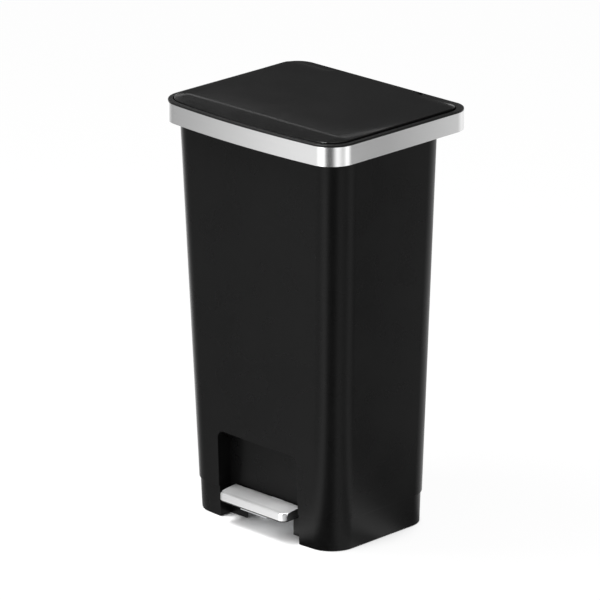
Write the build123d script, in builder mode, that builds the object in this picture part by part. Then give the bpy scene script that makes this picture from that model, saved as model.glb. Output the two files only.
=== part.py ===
"""Pedal trash can: tapering plastic bin, steel-banded rim, hinged lid, push rod and pedal lever."""
import os
from math import asin, atan2, cos, degrees, radians, sin

from build123d import *

os.makedirs("parts", exist_ok=True)

# Rim of the can, in mm: X runs across, -Y is the front with the pedal, Z is up from the floor
rim_width = 368.0
rim_depth = 306.0
rim_top = 650.0
rim_bow = 11.0
rim_front_corner = 38.0
rim_back_corner = 33.0
rim_lip = 3.0
rim_wall = 2.5
band_height = 29.5
band_thickness = 0.8
band_fit = 0.1

# Tapering body: how far its top stands in under the rim and its foot leans in from the rim
side_overhang = 8.0
front_overhang = 17.0
back_overhang = 45.0
side_lean = 30.5
front_lean = 35.5
back_lean = 50.5
body_top_bow = 9.5
body_foot_bow = 7.0
body_corner = 41.0
body_wall = 3.0
body_fit = 0.4
floor_height = 75.0
floor_thickness = 3.0

# Base skirt under the body
base_height = 50.0
skirt_step = 1.9
skirt_wall = 3.0
foot_rise = 1.0
foot_radius = 8.0
foot_thickness = 5.0
foot_fit = 0.1
column_wall = 3.0
column_overlap = 1.5
base_boss_radius = 8.0
base_screw_radius = 2.0
base_screw_head = 4.0
base_screw_head_height = 3.0
base_screw_grip = 18.0

# Toe recess in the front of the body
recess_width = 168.0
recess_top = 142.0
recess_depth = 28.0
recess_corner = 13.0
lever_opening = 100.0

# Mouth of the bin and the lid's seat inside the rim
well_depth = 11.5
ledge_thickness = 2.5
mouth_side = 32.0
mouth_front = 24.0
mouth_back = 76.0
mouth_corner = 14.0
ring_fit = 0.5
ring_wall = 2.5
ring_drop = 26.0
ring_lap = 4.0
ring_play = 0.5
bumper_radius = 4.0
bumper_play = 0.3
bumper_spread_y = 160.0

# Lid
lid_strip = 9.0
lid_gap = 2.0
lid_rise = 4.0
lid_seat = 2.5
lid_skin = 3.0
lid_wall = 2.5
lid_front_corner = 30.0
lid_back_corner = 24.0
bevel_length = 52.0
bevel_drop = 3.8
liner_thickness = 2.5
liner_fit = 0.3
liner_notch = 36.0
lid_boss_radius = 4.5
lid_boss_spread_x = 240.0
lid_boss_spread_y = 150.0

# Hinge at the back of the rim
tail_width = 168.0
tail_play = 0.7
tail_reach = 6.4
barrel_radius = 7.0
barrel_play = 0.6
hinge_drop = 4.0
hinge_back_wall = 1.2
pin_radius = 2.5
pin_fit = 0.05
pin_length = 26.0
pin_grip = 11.0

# Lid crank: a post under the lid's back edge that the push rod lifts
lid_swing = 75.0
crank_radius = 26.0
crank_rest_angle = 38.0
crank_tip = 4.0
crank_width = 12.0
crank_flange_width = 30.0
crank_flange_length = 22.0
crank_flange_thickness = 3.0
crank_pad = 4.0
crank_room = 3.0
crank_screw_spread = 20.0

# Push rod in a channel down the back wall
channel_width = 44.0
channel_depth = 21.0
channel_wall = 3.0
land_width = 10.0
cover_lap = 7.0
cover_thickness = 2.5
cover_fit = 0.2
cover_stop = 4.0
rod_radius = 3.0
rod_depth = 11.0
rod_fit = 0.08
rod_press = 0.02
head_width = 16.0
head_thickness = 4.0
head_gap = 1.1
head_margin = 4.0
rod_foot_radius = 4.5
rod_foot_height = 14.0
rod_foot_gap = 0.8
rod_cap_wall = 3.0
guide_height = 14.0
guide_fit = 0.2
upper_guide_drop = 90.0
lower_guide_at = 110.0

# Soft-close damper beside the rod
damper_side = 13.0
damper_drop = 250.0
damper_length = 80.0
damper_radius = 6.5
damper_bore = 4.3
damper_cap = 4.0
piston_radius = 4.1
piston_length = 8.0
plunger_radius = 2.2
plunger_drop = 50.0
plunger_fit = 0.3
collar_height = 12.0
clamp_height = 12.0
clamp_wall = 4.0

# Pedal lever under the floor
axle_setback = 95.0
axle_height = 31.0
axle_radius = 4.0
axle_fit = 0.06
hub_radius = 9.0
lever_tip = 5.0
lever_width = 56.0
lever_rail = 9.0
lever_front_thickness = 5.0
lever_web = 12.0
tip_play = 5.0
tip_notch_height = 9.0
lever_pad_margin = 6.0
bush_radius = 7.0
bush_length = 6.0
bush_play = 0.3
cheek_thickness = 4.0
cheek_play = 0.2
bracket_plate = 3.0
bracket_length = 50.0
bracket_flange = 14.0
floor_pad = 6.0
clip_radius = 7.0
clip_thickness = 1.2
clip_play = 0.2

# Pedal at the front end of the lever
pedal_width = 140.0
pedal_length = 38.8
pedal_reach = 15.0
pedal_bottom = 35.3
pedal_front_height = 14.7
pedal_crease = 4.5
pedal_crease_rise = 0.3
pedal_back_rise = 1.3
pedal_corner = 10.0
tread_skin = 1.0
tread_fit = 0.2
pedal_screw_spread = 34.0

# Small screws
screw_radius = 1.5
screw_head = 3.0
screw_head_height = 1.8
screw_length = 9.0
screw_fit = 0.1
cover_screw_rows = 3
cover_screw_margin = 36.0
rim_boss_radius = 3.6
rim_boss_height = 30.0
rim_boss_overlap = 1.0
rim_screw_spread = 120.0

# Places that follow from those sizes
rim_front = -rim_depth / 2
rim_back = rim_depth / 2
band_top = rim_top - rim_lip
rim_bottom = band_top - band_height
rim_inset = band_thickness + band_fit
ledge_top = rim_top - well_depth
body_top = ledge_top - ledge_thickness
foot_half = rim_width / 2 - side_lean
foot_front = rim_front + front_lean
foot_back = rim_back - back_lean
top_half = rim_width / 2 - side_overhang
top_front = rim_front + front_overhang
top_back = rim_back - back_overhang
lid_bottom = ledge_top + lid_seat
lid_top = rim_top + lid_rise
hinge_y = rim_back - rim_inset - hinge_back_wall - barrel_play - barrel_radius
hinge_z = rim_top - hinge_drop
upper_guide_at = rim_top - upper_guide_drop
damper_at = rim_top - damper_drop
lid_back = hinge_y - tail_reach
lid_front = rim_front + lid_strip
back_slope = degrees(atan2(top_back - foot_back, rim_bottom))
rear_plane = Plane(
    origin=(0, foot_back, 0),
    x_dir=(1, 0, 0),
    z_dir=(0, sin(radians(back_slope)), cos(radians(back_slope))),
)

# Crank post at rest, and the lift that it needs for the lid's full swing
crank_y = hinge_y - crank_radius * cos(radians(crank_rest_angle))
crank_z = hinge_z - crank_radius * sin(radians(crank_rest_angle))
crank_end_angle = lid_swing - crank_rest_angle
rod_travel = crank_radius * (sin(radians(crank_rest_angle)) + sin(radians(crank_end_angle)))


def rear_height(height, depth):
    """Distance up the back wall's slope to a level, at a depth in from the wall's outer face."""
    return (height - depth * sin(radians(back_slope))) / cos(radians(back_slope))


def rod_y(height):
    """Where the push rod's centre line stands at a level."""
    lean = rear_height(height, rod_depth) * sin(radians(back_slope))
    return foot_back + lean - rod_depth * cos(radians(back_slope))


# Lever: its back arm swings evenly about level and lifts the rod by its travel
axle_y = foot_front + axle_setback
lever_arm = rod_y(axle_height) - axle_y
lever_half_swing = degrees(asin(rod_travel / 2 / lever_arm))
tip_y = axle_y + lever_arm * cos(radians(lever_half_swing))
tip_z = axle_height - lever_arm * sin(radians(lever_half_swing))
rod_foot_bottom = tip_z + lever_tip + rod_foot_gap
head_top = crank_z - crank_tip - head_gap


def bowed_outline(height, half, front, back, bow, front_corner, back_corner):
    """A level outline with rounded corners whose front edge bows out."""
    with BuildSketch(Plane.XY.offset(height)) as outline:
        with BuildLine():
            ThreePointArc((-half, front + bow), (0, front), (half, front + bow))
            Polyline((half, front + bow), (half, back), (-half, back), (-half, front + bow))
        make_face()
        fillet(outline.vertices().group_by(Axis.Y)[0], radius=front_corner)
        fillet(outline.vertices().group_by(Axis.Y)[-1], radius=back_corner)
    return outline.sketch


def rim_outline(height, inset=0.0):
    """The rim's outline, drawn in by an inset."""
    return bowed_outline(
        height,
        rim_width / 2 - inset,
        rim_front + inset,
        rim_back - inset,
        rim_bow,
        rim_front_corner - inset,
        rim_back_corner - inset,
    )


def lid_outline(height, inset=0.0):
    """The lid's outline, drawn in by an inset."""
    return bowed_outline(
        height,
        rim_width / 2 - lid_strip - inset,
        lid_front + inset,
        lid_back - inset,
        rim_bow,
        lid_front_corner - inset,
        lid_back_corner - inset,
    )


def mouth_outline(height, inset=0.0):
    """The bin's mouth, drawn in by an inset."""
    return bowed_outline(
        height,
        rim_width / 2 - mouth_side - inset,
        rim_front + mouth_front + inset,
        rim_back - mouth_back - inset,
        rim_bow,
        mouth_corner - inset,
        mouth_corner - inset,
    )


def body_outline(height, inset=0.0):
    """The body's outline at a level of its taper, drawn in by an inset."""
    share = height / rim_bottom
    return bowed_outline(
        height,
        foot_half + (top_half - foot_half) * share - inset,
        body_front(height) + inset,
        foot_back + (top_back - foot_back) * share - inset,
        body_foot_bow + (body_top_bow - body_foot_bow) * share,
        body_corner - inset,
        body_corner - inset,
    )


def body_front(height):
    """The front of the body on its middle line at a level."""
    return foot_front + (top_front - foot_front) * height / rim_bottom


def taper(low, high, inset=0.0):
    """The body's outlines at two levels, to loft between."""
    return [body_outline(low, inset), body_outline(high, inset)]


# Seats of the small fasteners
recess_back = body_front(recess_top / 2) + recess_depth
foot_reach = body_corner - skirt_step - skirt_wall - foot_radius - column_wall + column_overlap
column_radius = foot_radius + foot_fit + column_wall
corner_x = foot_half - body_corner + foot_reach * cos(radians(45))
front_corner_y = foot_front + body_foot_bow / 2 + body_corner - foot_reach * sin(radians(45))
back_corner_y = foot_back - body_corner + foot_reach * sin(radians(45))
foot_places = {
    "front_left": (-corner_x, front_corner_y),
    "front_right": (corner_x, front_corner_y),
    "back_left": (-corner_x, back_corner_y),
    "back_right": (corner_x, back_corner_y),
}
base_screw_bottom = foot_thickness
base_screw_top = base_height + base_screw_grip
rim_screw_x = top_half - body_wall - rim_boss_radius + rim_boss_overlap
rim_screw_places = [
    (side * rim_screw_x, row * rim_screw_spread / 2) for side in (-1, 1) for row in (-1, 1)
]
bracket_top = floor_height - floor_pad
bracket_half = lever_width / 2 + bush_play + bush_length + cheek_play + cheek_thickness
bracket_screw_places = [
    (side * (bracket_half + bracket_flange / 2), axle_y + row * bracket_length / 3)
    for side in (-1, 1)
    for row in (-1, 1)
]
bottom_up = (Align.CENTER, Align.CENTER, Align.MIN)
top_down = (Align.CENTER, Align.CENTER, Align.MAX)
back_bottom = (Align.CENTER, Align.MAX, Align.MIN)
back_top = (Align.CENTER, Align.MAX, Align.MAX)

# Body shell: taper, bin hollow, toe recess, rod channel
with BuildPart() as body_blank:
    loft(taper(base_height, body_top), ruled=True)

with BuildPart() as recess_surround:
    with BuildSketch(Plane.XZ.offset(-recess_back - body_wall)) as surround_face:
        with Locations((0, (recess_top + body_wall) / 2)):
            Rectangle(recess_width + 2 * body_wall, recess_top + body_wall)
        fillet(surround_face.vertices().group_by(Axis.Y)[-1], radius=recess_corner + body_wall)
    extrude(amount=rim_depth)
    add(body_blank.part, mode=Mode.INTERSECT)

with BuildPart(rear_plane) as channel_block:
    Box(channel_width + 2 * land_width, 2 * (channel_depth + channel_wall), 3 * rim_top)

with BuildPart() as channel_surround:
    add(body_blank.part)
    add(channel_block.part, mode=Mode.INTERSECT)

with BuildPart() as body_shell:
    add(body_blank.part)
    loft(taper(floor_height + floor_thickness, body_top, body_wall), ruled=True, mode=Mode.SUBTRACT)
    loft(taper(base_height, floor_height, body_wall), ruled=True, mode=Mode.SUBTRACT)
    add(recess_surround.part)
    add(channel_surround.part)
    with Locations((0, axle_y, floor_height)):
        Box(2 * (bracket_half + bracket_flange), bracket_length, floor_pad, align=top_down)
    for place in foot_places.values():
        with Locations((*place, base_height)):
            Cylinder(base_boss_radius, floor_height - base_height, align=bottom_up)
    for place in rim_screw_places:
        with Locations((*place, body_top)):
            Cylinder(rim_boss_radius, rim_boss_height, align=top_down)
    with BuildSketch(Plane.XZ.offset(-recess_back)) as recess_face:
        with Locations((0, recess_top / 2)):
            Rectangle(recess_width, recess_top)
        fillet(recess_face.vertices().group_by(Axis.Y)[-1], radius=recess_corner)
    extrude(amount=rim_depth, mode=Mode.SUBTRACT)
    for place in foot_places.values():
        with Locations((*place, base_height)):
            Cylinder(
                base_screw_radius + screw_fit, base_screw_grip + screw_fit,
                align=bottom_up, mode=Mode.SUBTRACT,
            )
    for place in rim_screw_places:
        with Locations((*place, body_top)):
            Cylinder(screw_radius + screw_fit, screw_length, align=top_down, mode=Mode.SUBTRACT)
    for place in bracket_screw_places:
        with Locations((*place, bracket_top)):
            Cylinder(
                screw_radius + screw_fit, screw_length - bracket_plate,
                align=bottom_up, mode=Mode.SUBTRACT,
            )

# The channel and its cover's rebate are cut along the slope of the back wall
cover_top = rim_bottom - cover_stop
cover_low = rear_height(base_height, 0)
cover_length = rear_height(cover_top, 0) - cover_low
cover_width = channel_width + 2 * cover_lap
cover_screw_x = (channel_width + cover_lap) / 2
cover_screw_pitch = (cover_length - 2 * cover_screw_margin) / (cover_screw_rows - 1)
cover_screw_places = [
    (side * cover_screw_x, cover_low + cover_screw_margin + row * cover_screw_pitch)
    for side in (-1, 1)
    for row in range(cover_screw_rows)
]
with BuildPart(rear_plane) as channel_cut:
    Box(channel_width, 2 * channel_depth, 3 * rim_top)
    with Locations((0, 0, cover_low - cover_fit)):
        Box(
            cover_width + 2 * cover_fit, 2 * (cover_thickness + cover_fit), rim_top,
            align=bottom_up,
        )
    for screw_x, screw_z in cover_screw_places:
        with Locations((screw_x, -cover_thickness, screw_z)):
            Cylinder(screw_radius + screw_fit, 2 * screw_length, rotation=(90, 0, 0))

# The channel's front wall is cut away at its foot, where the lever's tip rises
channel_front_y = rod_y(base_height) + rod_depth - channel_depth - channel_wall
with BuildPart() as body_finished:
    add(body_shell.part)
    add(channel_cut.part, mode=Mode.SUBTRACT)
    with Locations((0, channel_front_y, base_height)):
        Box(channel_width, 3 * channel_wall, 2 * tip_notch_height, mode=Mode.SUBTRACT)
body_finished.part.label = "body_shell"
export_step(body_finished.part, "parts/body_shell.step")

with BuildPart(rear_plane) as rod_channel_cover:
    with Locations((0, 0, cover_low)):
        Box(
            cover_width, cover_thickness, cover_length,
            align=back_bottom,
        )
    for screw_x, screw_z in cover_screw_places:
        with Locations((screw_x, 0, screw_z)):
            Cylinder(
                screw_radius + screw_fit, 3 * cover_thickness,
                rotation=(90, 0, 0), mode=Mode.SUBTRACT,
            )
            Cylinder(
                screw_head + screw_fit, 2 * screw_head_height,
                rotation=(90, 0, 0), mode=Mode.SUBTRACT,
            )
rod_channel_cover.part.label = "rod_channel_cover"
export_step(rod_channel_cover.part, "parts/rod_channel_cover.step")

with BuildPart(rear_plane) as cover_screws:
    for screw_x, screw_z in cover_screw_places:
        with Locations((screw_x, 0, screw_z)):
            Cylinder(screw_head, screw_head_height, rotation=(90, 0, 0), align=bottom_up)
            Cylinder(screw_radius, screw_length, rotation=(90, 0, 0), align=bottom_up)
cover_screws.part.label = "cover_screws"
export_step(cover_screws.part, "parts/cover_screws.step")

# Base skirt: follows the body's foot and the toe recess, with a column over each rubber foot
with BuildPart() as skirt_blank:
    loft(taper(foot_rise, base_height, skirt_step), ruled=True)

with BuildPart() as skirt_recess_wall:
    with BuildSketch(Plane.XY.offset(foot_rise)):
        with Locations((0, recess_back + skirt_wall)):
            Rectangle(recess_width + 2 * skirt_wall, rim_depth, align=(Align.CENTER, Align.MAX))
    extrude(amount=base_height - foot_rise)
    add(skirt_blank.part, mode=Mode.INTERSECT)

with BuildPart() as base_skirt:
    add(skirt_blank.part)
    loft(taper(foot_rise, base_height, skirt_step + skirt_wall), ruled=True, mode=Mode.SUBTRACT)
    add(skirt_recess_wall.part)
    for place in foot_places.values():
        with Locations((*place, foot_rise)):
            Cylinder(column_radius, base_height - foot_rise, align=bottom_up)
    with BuildSketch(Plane.XY.offset(foot_rise)):
        with Locations((0, recess_back)):
            Rectangle(recess_width, rim_depth, align=(Align.CENTER, Align.MAX))
        with Locations((0, recess_back)):
            Rectangle(lever_opening, 4 * skirt_wall)
    extrude(amount=base_height, mode=Mode.SUBTRACT)
    for place in foot_places.values():
        with Locations((*place, foot_rise)):
            Cylinder(
                foot_radius + foot_fit, foot_thickness - foot_rise,
                align=bottom_up, mode=Mode.SUBTRACT,
            )
            Cylinder(
                base_screw_radius + screw_fit, base_height, align=bottom_up, mode=Mode.SUBTRACT,
            )
        with Locations((*place, base_screw_bottom)):
            Cylinder(
                base_screw_head + screw_fit, base_screw_head_height,
                align=bottom_up, mode=Mode.SUBTRACT,
            )
base_skirt.part.label = "base_skirt"
export_step(base_skirt.part, "parts/base_skirt.step")

for foot_name, place in foot_places.items():
    with BuildPart() as rubber_foot:
        with Locations((*place, 0)):
            Cylinder(foot_radius, foot_thickness, align=bottom_up)
    rubber_foot.part.label = f"foot_{foot_name}"
    export_step(rubber_foot.part, f"parts/foot_{foot_name}.step")

with BuildPart() as base_screws:
    for place in foot_places.values():
        with Locations((*place, base_screw_bottom)):
            Cylinder(base_screw_head, base_screw_head_height, align=bottom_up)
            Cylinder(base_screw_radius, base_screw_top - base_screw_bottom, align=bottom_up)
base_screws.part.label = "base_screws"
export_step(base_screws.part, "parts/base_screws.step")

# Rim frame: carries the band outside, the lid's well and ledge inside, the hinge at the back
well_half = tail_width / 2 + tail_play
crank_notch_width = crank_flange_width + 2 * crank_room
crank_notch_back = crank_y + crank_tip + crank_room
crank_notch_front = rod_y(rim_bottom) - rod_radius - rod_cap_wall - crank_room
with BuildPart() as rim_frame:
    extrude(rim_outline(rim_bottom, rim_inset), amount=band_height)
    extrude(rim_outline(band_top), amount=rim_lip)
    fillet(rim_frame.faces().sort_by(Axis.Z)[-1].edges(), radius=rim_lip / 3)
    extrude(lid_outline(ledge_top, -lid_gap), amount=well_depth, mode=Mode.SUBTRACT)
    sill_top = rim_bottom + rim_wall
    extrude(rim_outline(sill_top, rim_inset + rim_wall), amount=body_top - sill_top, mode=Mode.SUBTRACT)
    loft(taper(rim_bottom, sill_top, -body_fit), ruled=True, mode=Mode.SUBTRACT)
    extrude(mouth_outline(body_top), amount=ledge_thickness, mode=Mode.SUBTRACT)
    with Locations((0, hinge_y + barrel_radius + barrel_play, ledge_top)):
        Box(
            2 * well_half, barrel_radius + barrel_play + tail_reach + lid_gap, well_depth,
            align=back_bottom, mode=Mode.SUBTRACT,
        )
    with Locations((0, crank_notch_back, body_top)):
        Box(
            crank_notch_width, crank_notch_back - crank_notch_front, ledge_thickness,
            align=back_bottom, mode=Mode.SUBTRACT,
        )
    with Locations((0, hinge_y, hinge_z)):
        Cylinder(
            pin_radius + pin_fit, 2 * (well_half + pin_grip),
            rotation=(0, 90, 0), mode=Mode.SUBTRACT,
        )
    for place in rim_screw_places:
        with Locations((*place, ledge_top)):
            Cylinder(
                screw_head + screw_fit, screw_head_height, align=top_down, mode=Mode.SUBTRACT,
            )
            Cylinder(
                screw_radius + screw_fit, 2 * ledge_thickness, align=top_down, mode=Mode.SUBTRACT,
            )
rim_frame.part.label = "rim_frame"
export_step(rim_frame.part, "parts/rim_frame.step")

with BuildPart() as rim_screws:
    for place in rim_screw_places:
        with Locations((*place, ledge_top)):
            Cylinder(screw_head, screw_head_height, align=top_down)
            Cylinder(screw_radius, screw_length, align=top_down)
rim_screws.part.label = "rim_screws"
export_step(rim_screws.part, "parts/rim_screws.step")

with BuildPart() as steel_band:
    extrude(rim_outline(rim_bottom), amount=band_height)
    extrude(rim_outline(rim_bottom, band_thickness), amount=band_height, mode=Mode.SUBTRACT)
steel_band.part.label = "steel_band"
export_step(steel_band.part, "parts/steel_band.step")

with BuildPart() as bag_ring:
    ring_low = ledge_top - ring_drop
    extrude(mouth_outline(ledge_top, -ring_lap), amount=lid_seat - ring_play)
    extrude(mouth_outline(ring_low, ring_fit), amount=ring_drop)
    extrude(mouth_outline(ring_low, ring_fit + ring_wall), amount=2 * ring_drop, mode=Mode.SUBTRACT)
bag_ring.part.label = "bag_ring"
export_step(bag_ring.part, "parts/bag_ring.step")

# Rubber bumpers on the ledge, under the lid's edge
bumper_x = rim_width / 2 - lid_strip - lid_wall - bumper_radius
with BuildPart() as lid_bumpers:
    for side in (-1, 1):
        for row in (-1, 1):
            with Locations((side * bumper_x, row * bumper_spread_y / 2, ledge_top)):
                Cylinder(bumper_radius, lid_seat - bumper_play, align=bottom_up)
lid_bumpers.part.label = "lid_bumpers"
export_step(lid_bumpers.part, "parts/lid_bumpers.step")

# Hinge pins: one at each end of the lid's tail
pin_centre = well_half + pin_grip - pin_length / 2
with BuildPart() as hinge_pins:
    for side in (-1, 1):
        with Locations((side * pin_centre, hinge_y, hinge_z)):
            Cylinder(pin_radius, pin_length, rotation=(0, 90, 0))
hinge_pins.part.label = "hinge_pins"
export_step(hinge_pins.part, "parts/hinge_pins.step")

# Lid panel: crowned edge, sloping front, hollow underside, tail round the hinge pins
crease_y = lid_front + bevel_length
bevel_rate = bevel_drop / bevel_length


def front_wedge(drop):
    """Side view of what the lid's sloping front cuts away, lowered by a drop."""
    far = rim_depth
    with BuildSketch(Plane.YZ) as wedge:
        with BuildLine():
            Polyline(
                (crease_y, lid_top - drop),
                (crease_y - far, lid_top - drop - far * bevel_rate),
                (crease_y - far, lid_top + far),
                (crease_y, lid_top + far),
                close=True,
            )
        make_face()
    return wedge.sketch


lid_boss_places = [
    (side * lid_boss_spread_x / 2, row * lid_boss_spread_y / 2) for side in (-1, 1) for row in (-1, 1)
]
liner_top = lid_bottom + liner_thickness
flange_top = lid_top - lid_skin - crank_pad
flange_back = lid_back - lid_wall - liner_fit
flange_front = flange_back - crank_flange_length
crank_screw_places = [(side * crank_screw_spread / 2, crank_y) for side in (-1, 1)]
with BuildPart() as lid_hollow:
    extrude(lid_outline(lid_bottom, lid_wall), amount=lid_top - lid_skin - lid_bottom)
    extrude(front_wedge(lid_skin), amount=rim_width, both=True, mode=Mode.SUBTRACT)

with BuildPart() as lid_panel:
    extrude(lid_outline(lid_bottom), amount=lid_top - lid_bottom)
    extrude(front_wedge(0.0), amount=rim_width, both=True, mode=Mode.SUBTRACT)
    add(lid_hollow.part, mode=Mode.SUBTRACT)
    with BuildSketch(Plane.YZ):
        with Locations((hinge_y, hinge_z)):
            Circle(barrel_radius)
        with Locations((hinge_y, hinge_z)):
            Rectangle(tail_reach + lid_wall, barrel_radius, align=(Align.MAX, Align.MIN))
    extrude(amount=tail_width / 2, both=True)
    with Locations((0, flange_back, lid_top - lid_skin)):
        Box(crank_flange_width, crank_flange_length, crank_pad, align=back_top)
    for place in lid_boss_places:
        with Locations((*place, lid_top - lid_skin)):
            Cylinder(lid_boss_radius, lid_top - lid_skin - liner_top, align=top_down)
    with Locations((0, hinge_y, hinge_z)):
        Cylinder(pin_radius + pin_fit, rim_width, rotation=(0, 90, 0), mode=Mode.SUBTRACT)
    for place in lid_boss_places:
        with Locations((*place, lid_bottom)):
            Cylinder(screw_radius + screw_fit, screw_length, align=bottom_up, mode=Mode.SUBTRACT)
    for place in crank_screw_places:
        with Locations((*place, flange_top - crank_flange_thickness)):
            Cylinder(screw_radius + screw_fit, screw_length, align=bottom_up, mode=Mode.SUBTRACT)
lid_panel.part.label = "lid_panel"
export_step(lid_panel.part, "parts/lid_panel.step")

with BuildPart() as lid_liner:
    extrude(lid_outline(lid_bottom, lid_wall + liner_fit), amount=liner_thickness)
    with Locations((0, lid_back, lid_bottom)):
        Box(
            liner_notch, 2 * (lid_back - flange_front + crank_room), liner_thickness,
            align=bottom_up, mode=Mode.SUBTRACT,
        )
    for place in lid_boss_places:
        with Locations((*place, lid_bottom)):
            Cylinder(
                screw_radius + screw_fit, liner_thickness, align=bottom_up, mode=Mode.SUBTRACT,
            )
            Cylinder(
                screw_head + screw_fit, screw_head_height, align=bottom_up, mode=Mode.SUBTRACT,
            )
lid_liner.part.label = "lid_liner"
export_step(lid_liner.part, "parts/lid_liner.step")

with BuildPart() as lid_screws:
    for place in lid_boss_places:
        with Locations((*place, lid_bottom)):
            Cylinder(screw_head, screw_head_height, align=bottom_up)
            Cylinder(screw_radius, screw_length, align=bottom_up)
lid_screws.part.label = "lid_screws"
export_step(lid_screws.part, "parts/lid_screws.step")

# Crank: flange under the lid, post and rounded tip on the rod's head
with BuildPart() as lid_crank:
    with Locations((0, flange_back, flange_top)):
        Box(crank_flange_width, crank_flange_length, crank_flange_thickness, align=back_top)
    with BuildSketch(Plane.YZ):
        with Locations((crank_y, crank_z)):
            Circle(crank_tip)
        with Locations((crank_y, crank_z)):
            Rectangle(2 * crank_tip, flange_top - crank_z, align=(Align.CENTER, Align.MIN))
    extrude(amount=crank_width / 2, both=True)
    for place in crank_screw_places:
        with Locations((*place, flange_top)):
            Cylinder(
                screw_radius + screw_fit, crank_flange_thickness,
                align=top_down, mode=Mode.SUBTRACT,
            )
lid_crank.part.label = "lid_crank"
export_step(lid_crank.part, "parts/lid_crank.step")

with BuildPart() as crank_screws:
    for place in crank_screw_places:
        with Locations((*place, flange_top - crank_flange_thickness)):
            Cylinder(screw_head, screw_head_height, align=top_down)
            Cylinder(screw_radius, screw_length - screw_head_height, align=bottom_up)
crank_screws.part.label = "crank_screws"
export_step(crank_screws.part, "parts/crank_screws.step")

# Push rod with its nylon head and foot, sliding in two guides
head_local_top = rear_height(head_top, rod_depth)
foot_local_bottom = rear_height(rod_foot_bottom, rod_depth)
rod_low = foot_local_bottom + rod_cap_wall
rod_high = head_local_top - rod_cap_wall
rod_length = rod_high - rod_low
head_back = crank_y + head_margin - rod_y(head_top)
with BuildPart(rear_plane) as push_rod:
    with Locations((0, -rod_depth, rod_low)):
        Cylinder(rod_radius, rod_length, align=bottom_up)
push_rod.part.label = "push_rod"
export_step(push_rod.part, "parts/push_rod.step")

with BuildPart(rear_plane) as rod_head:
    with Locations((0, -rod_depth + head_back, head_local_top)):
        Box(
            head_width, head_back + rod_radius + rod_cap_wall, head_thickness,
            align=back_top,
        )
    with Locations((0, -rod_depth, head_local_top)):
        Cylinder(rod_radius + rod_cap_wall, 3 * head_thickness, align=top_down)
    with Locations((0, -rod_depth, rod_high + rod_press)):
        Cylinder(
            rod_radius + rod_press, 3 * head_thickness, align=top_down, mode=Mode.SUBTRACT,
        )
rod_head.part.label = "rod_head"
export_step(rod_head.part, "parts/rod_head.step")

with BuildPart(rear_plane) as rod_foot:
    with Locations((0, -rod_depth, foot_local_bottom)):
        Cylinder(rod_foot_radius, rod_foot_height, align=bottom_up)
    with Locations((0, -rod_depth, rod_low - rod_press)):
        Cylinder(rod_radius + rod_press, rod_foot_height, align=bottom_up, mode=Mode.SUBTRACT)
rod_foot.part.label = "rod_foot"
export_step(rod_foot.part, "parts/rod_foot.step")

guide_width = channel_width - 2 * guide_fit
guide_deep = channel_depth - cover_thickness - 2 * guide_fit
guide_middle = -(channel_depth + cover_thickness) / 2
for guide_name, guide_at in (("rod_guide_upper", upper_guide_at), ("rod_guide_lower", lower_guide_at)):
    with BuildPart(rear_plane) as rod_guide:
        with Locations((0, guide_middle, guide_at)):
            Box(guide_width, guide_deep, guide_height)
        with Locations((0, -rod_depth, guide_at)):
            Cylinder(rod_radius + rod_fit, 2 * guide_height, mode=Mode.SUBTRACT)
    rod_guide.part.label = guide_name
    export_step(rod_guide.part, f"parts/{guide_name}.step")

# Soft-close damper: barrel held in the channel, plunger clamped to the rod
damper_top = damper_at + damper_length
collar_inner = damper_side - damper_radius
with BuildPart(rear_plane) as damper_barrel:
    with Locations((damper_side, -rod_depth, damper_at)):
        Cylinder(damper_radius, damper_length, align=bottom_up)
    with Locations((guide_width / 2, guide_middle, damper_top)):
        Box(
            guide_width / 2 - collar_inner, guide_deep, collar_height,
            align=(Align.MAX, Align.CENTER, Align.MAX),
        )
    with Locations((damper_side, -rod_depth, damper_at + damper_cap)):
        Cylinder(
            damper_bore, damper_length - 2 * damper_cap, align=bottom_up, mode=Mode.SUBTRACT,
        )
    with Locations((damper_side, -rod_depth, damper_at)):
        Cylinder(
            plunger_radius + plunger_fit, 2 * damper_cap, align=bottom_up, mode=Mode.SUBTRACT,
        )
damper_barrel.part.label = "damper_barrel"
export_step(damper_barrel.part, "parts/damper_barrel.step")

with BuildPart(rear_plane) as damper_plunger:
    with Locations((damper_side, -rod_depth, damper_at + 2 * damper_cap)):
        Cylinder(piston_radius, piston_length, align=bottom_up)
    with Locations((damper_side, -rod_depth, damper_at - plunger_drop)):
        Cylinder(plunger_radius, plunger_drop + 2 * damper_cap, align=bottom_up)
    with Locations((-rod_radius - clamp_wall, -rod_depth, damper_at - plunger_drop)):
        Box(
            damper_side + rod_radius + plunger_radius + 2 * clamp_wall,
            2 * (rod_radius + clamp_wall),
            clamp_height,
            align=(Align.MIN, Align.CENTER, Align.CENTER),
        )
    with Locations((0, -rod_depth, damper_at - plunger_drop)):
        Cylinder(rod_radius + rod_press, 2 * clamp_height, mode=Mode.SUBTRACT)
damper_plunger.part.label = "damper_plunger"
export_step(damper_plunger.part, "parts/damper_plunger.step")

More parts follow.
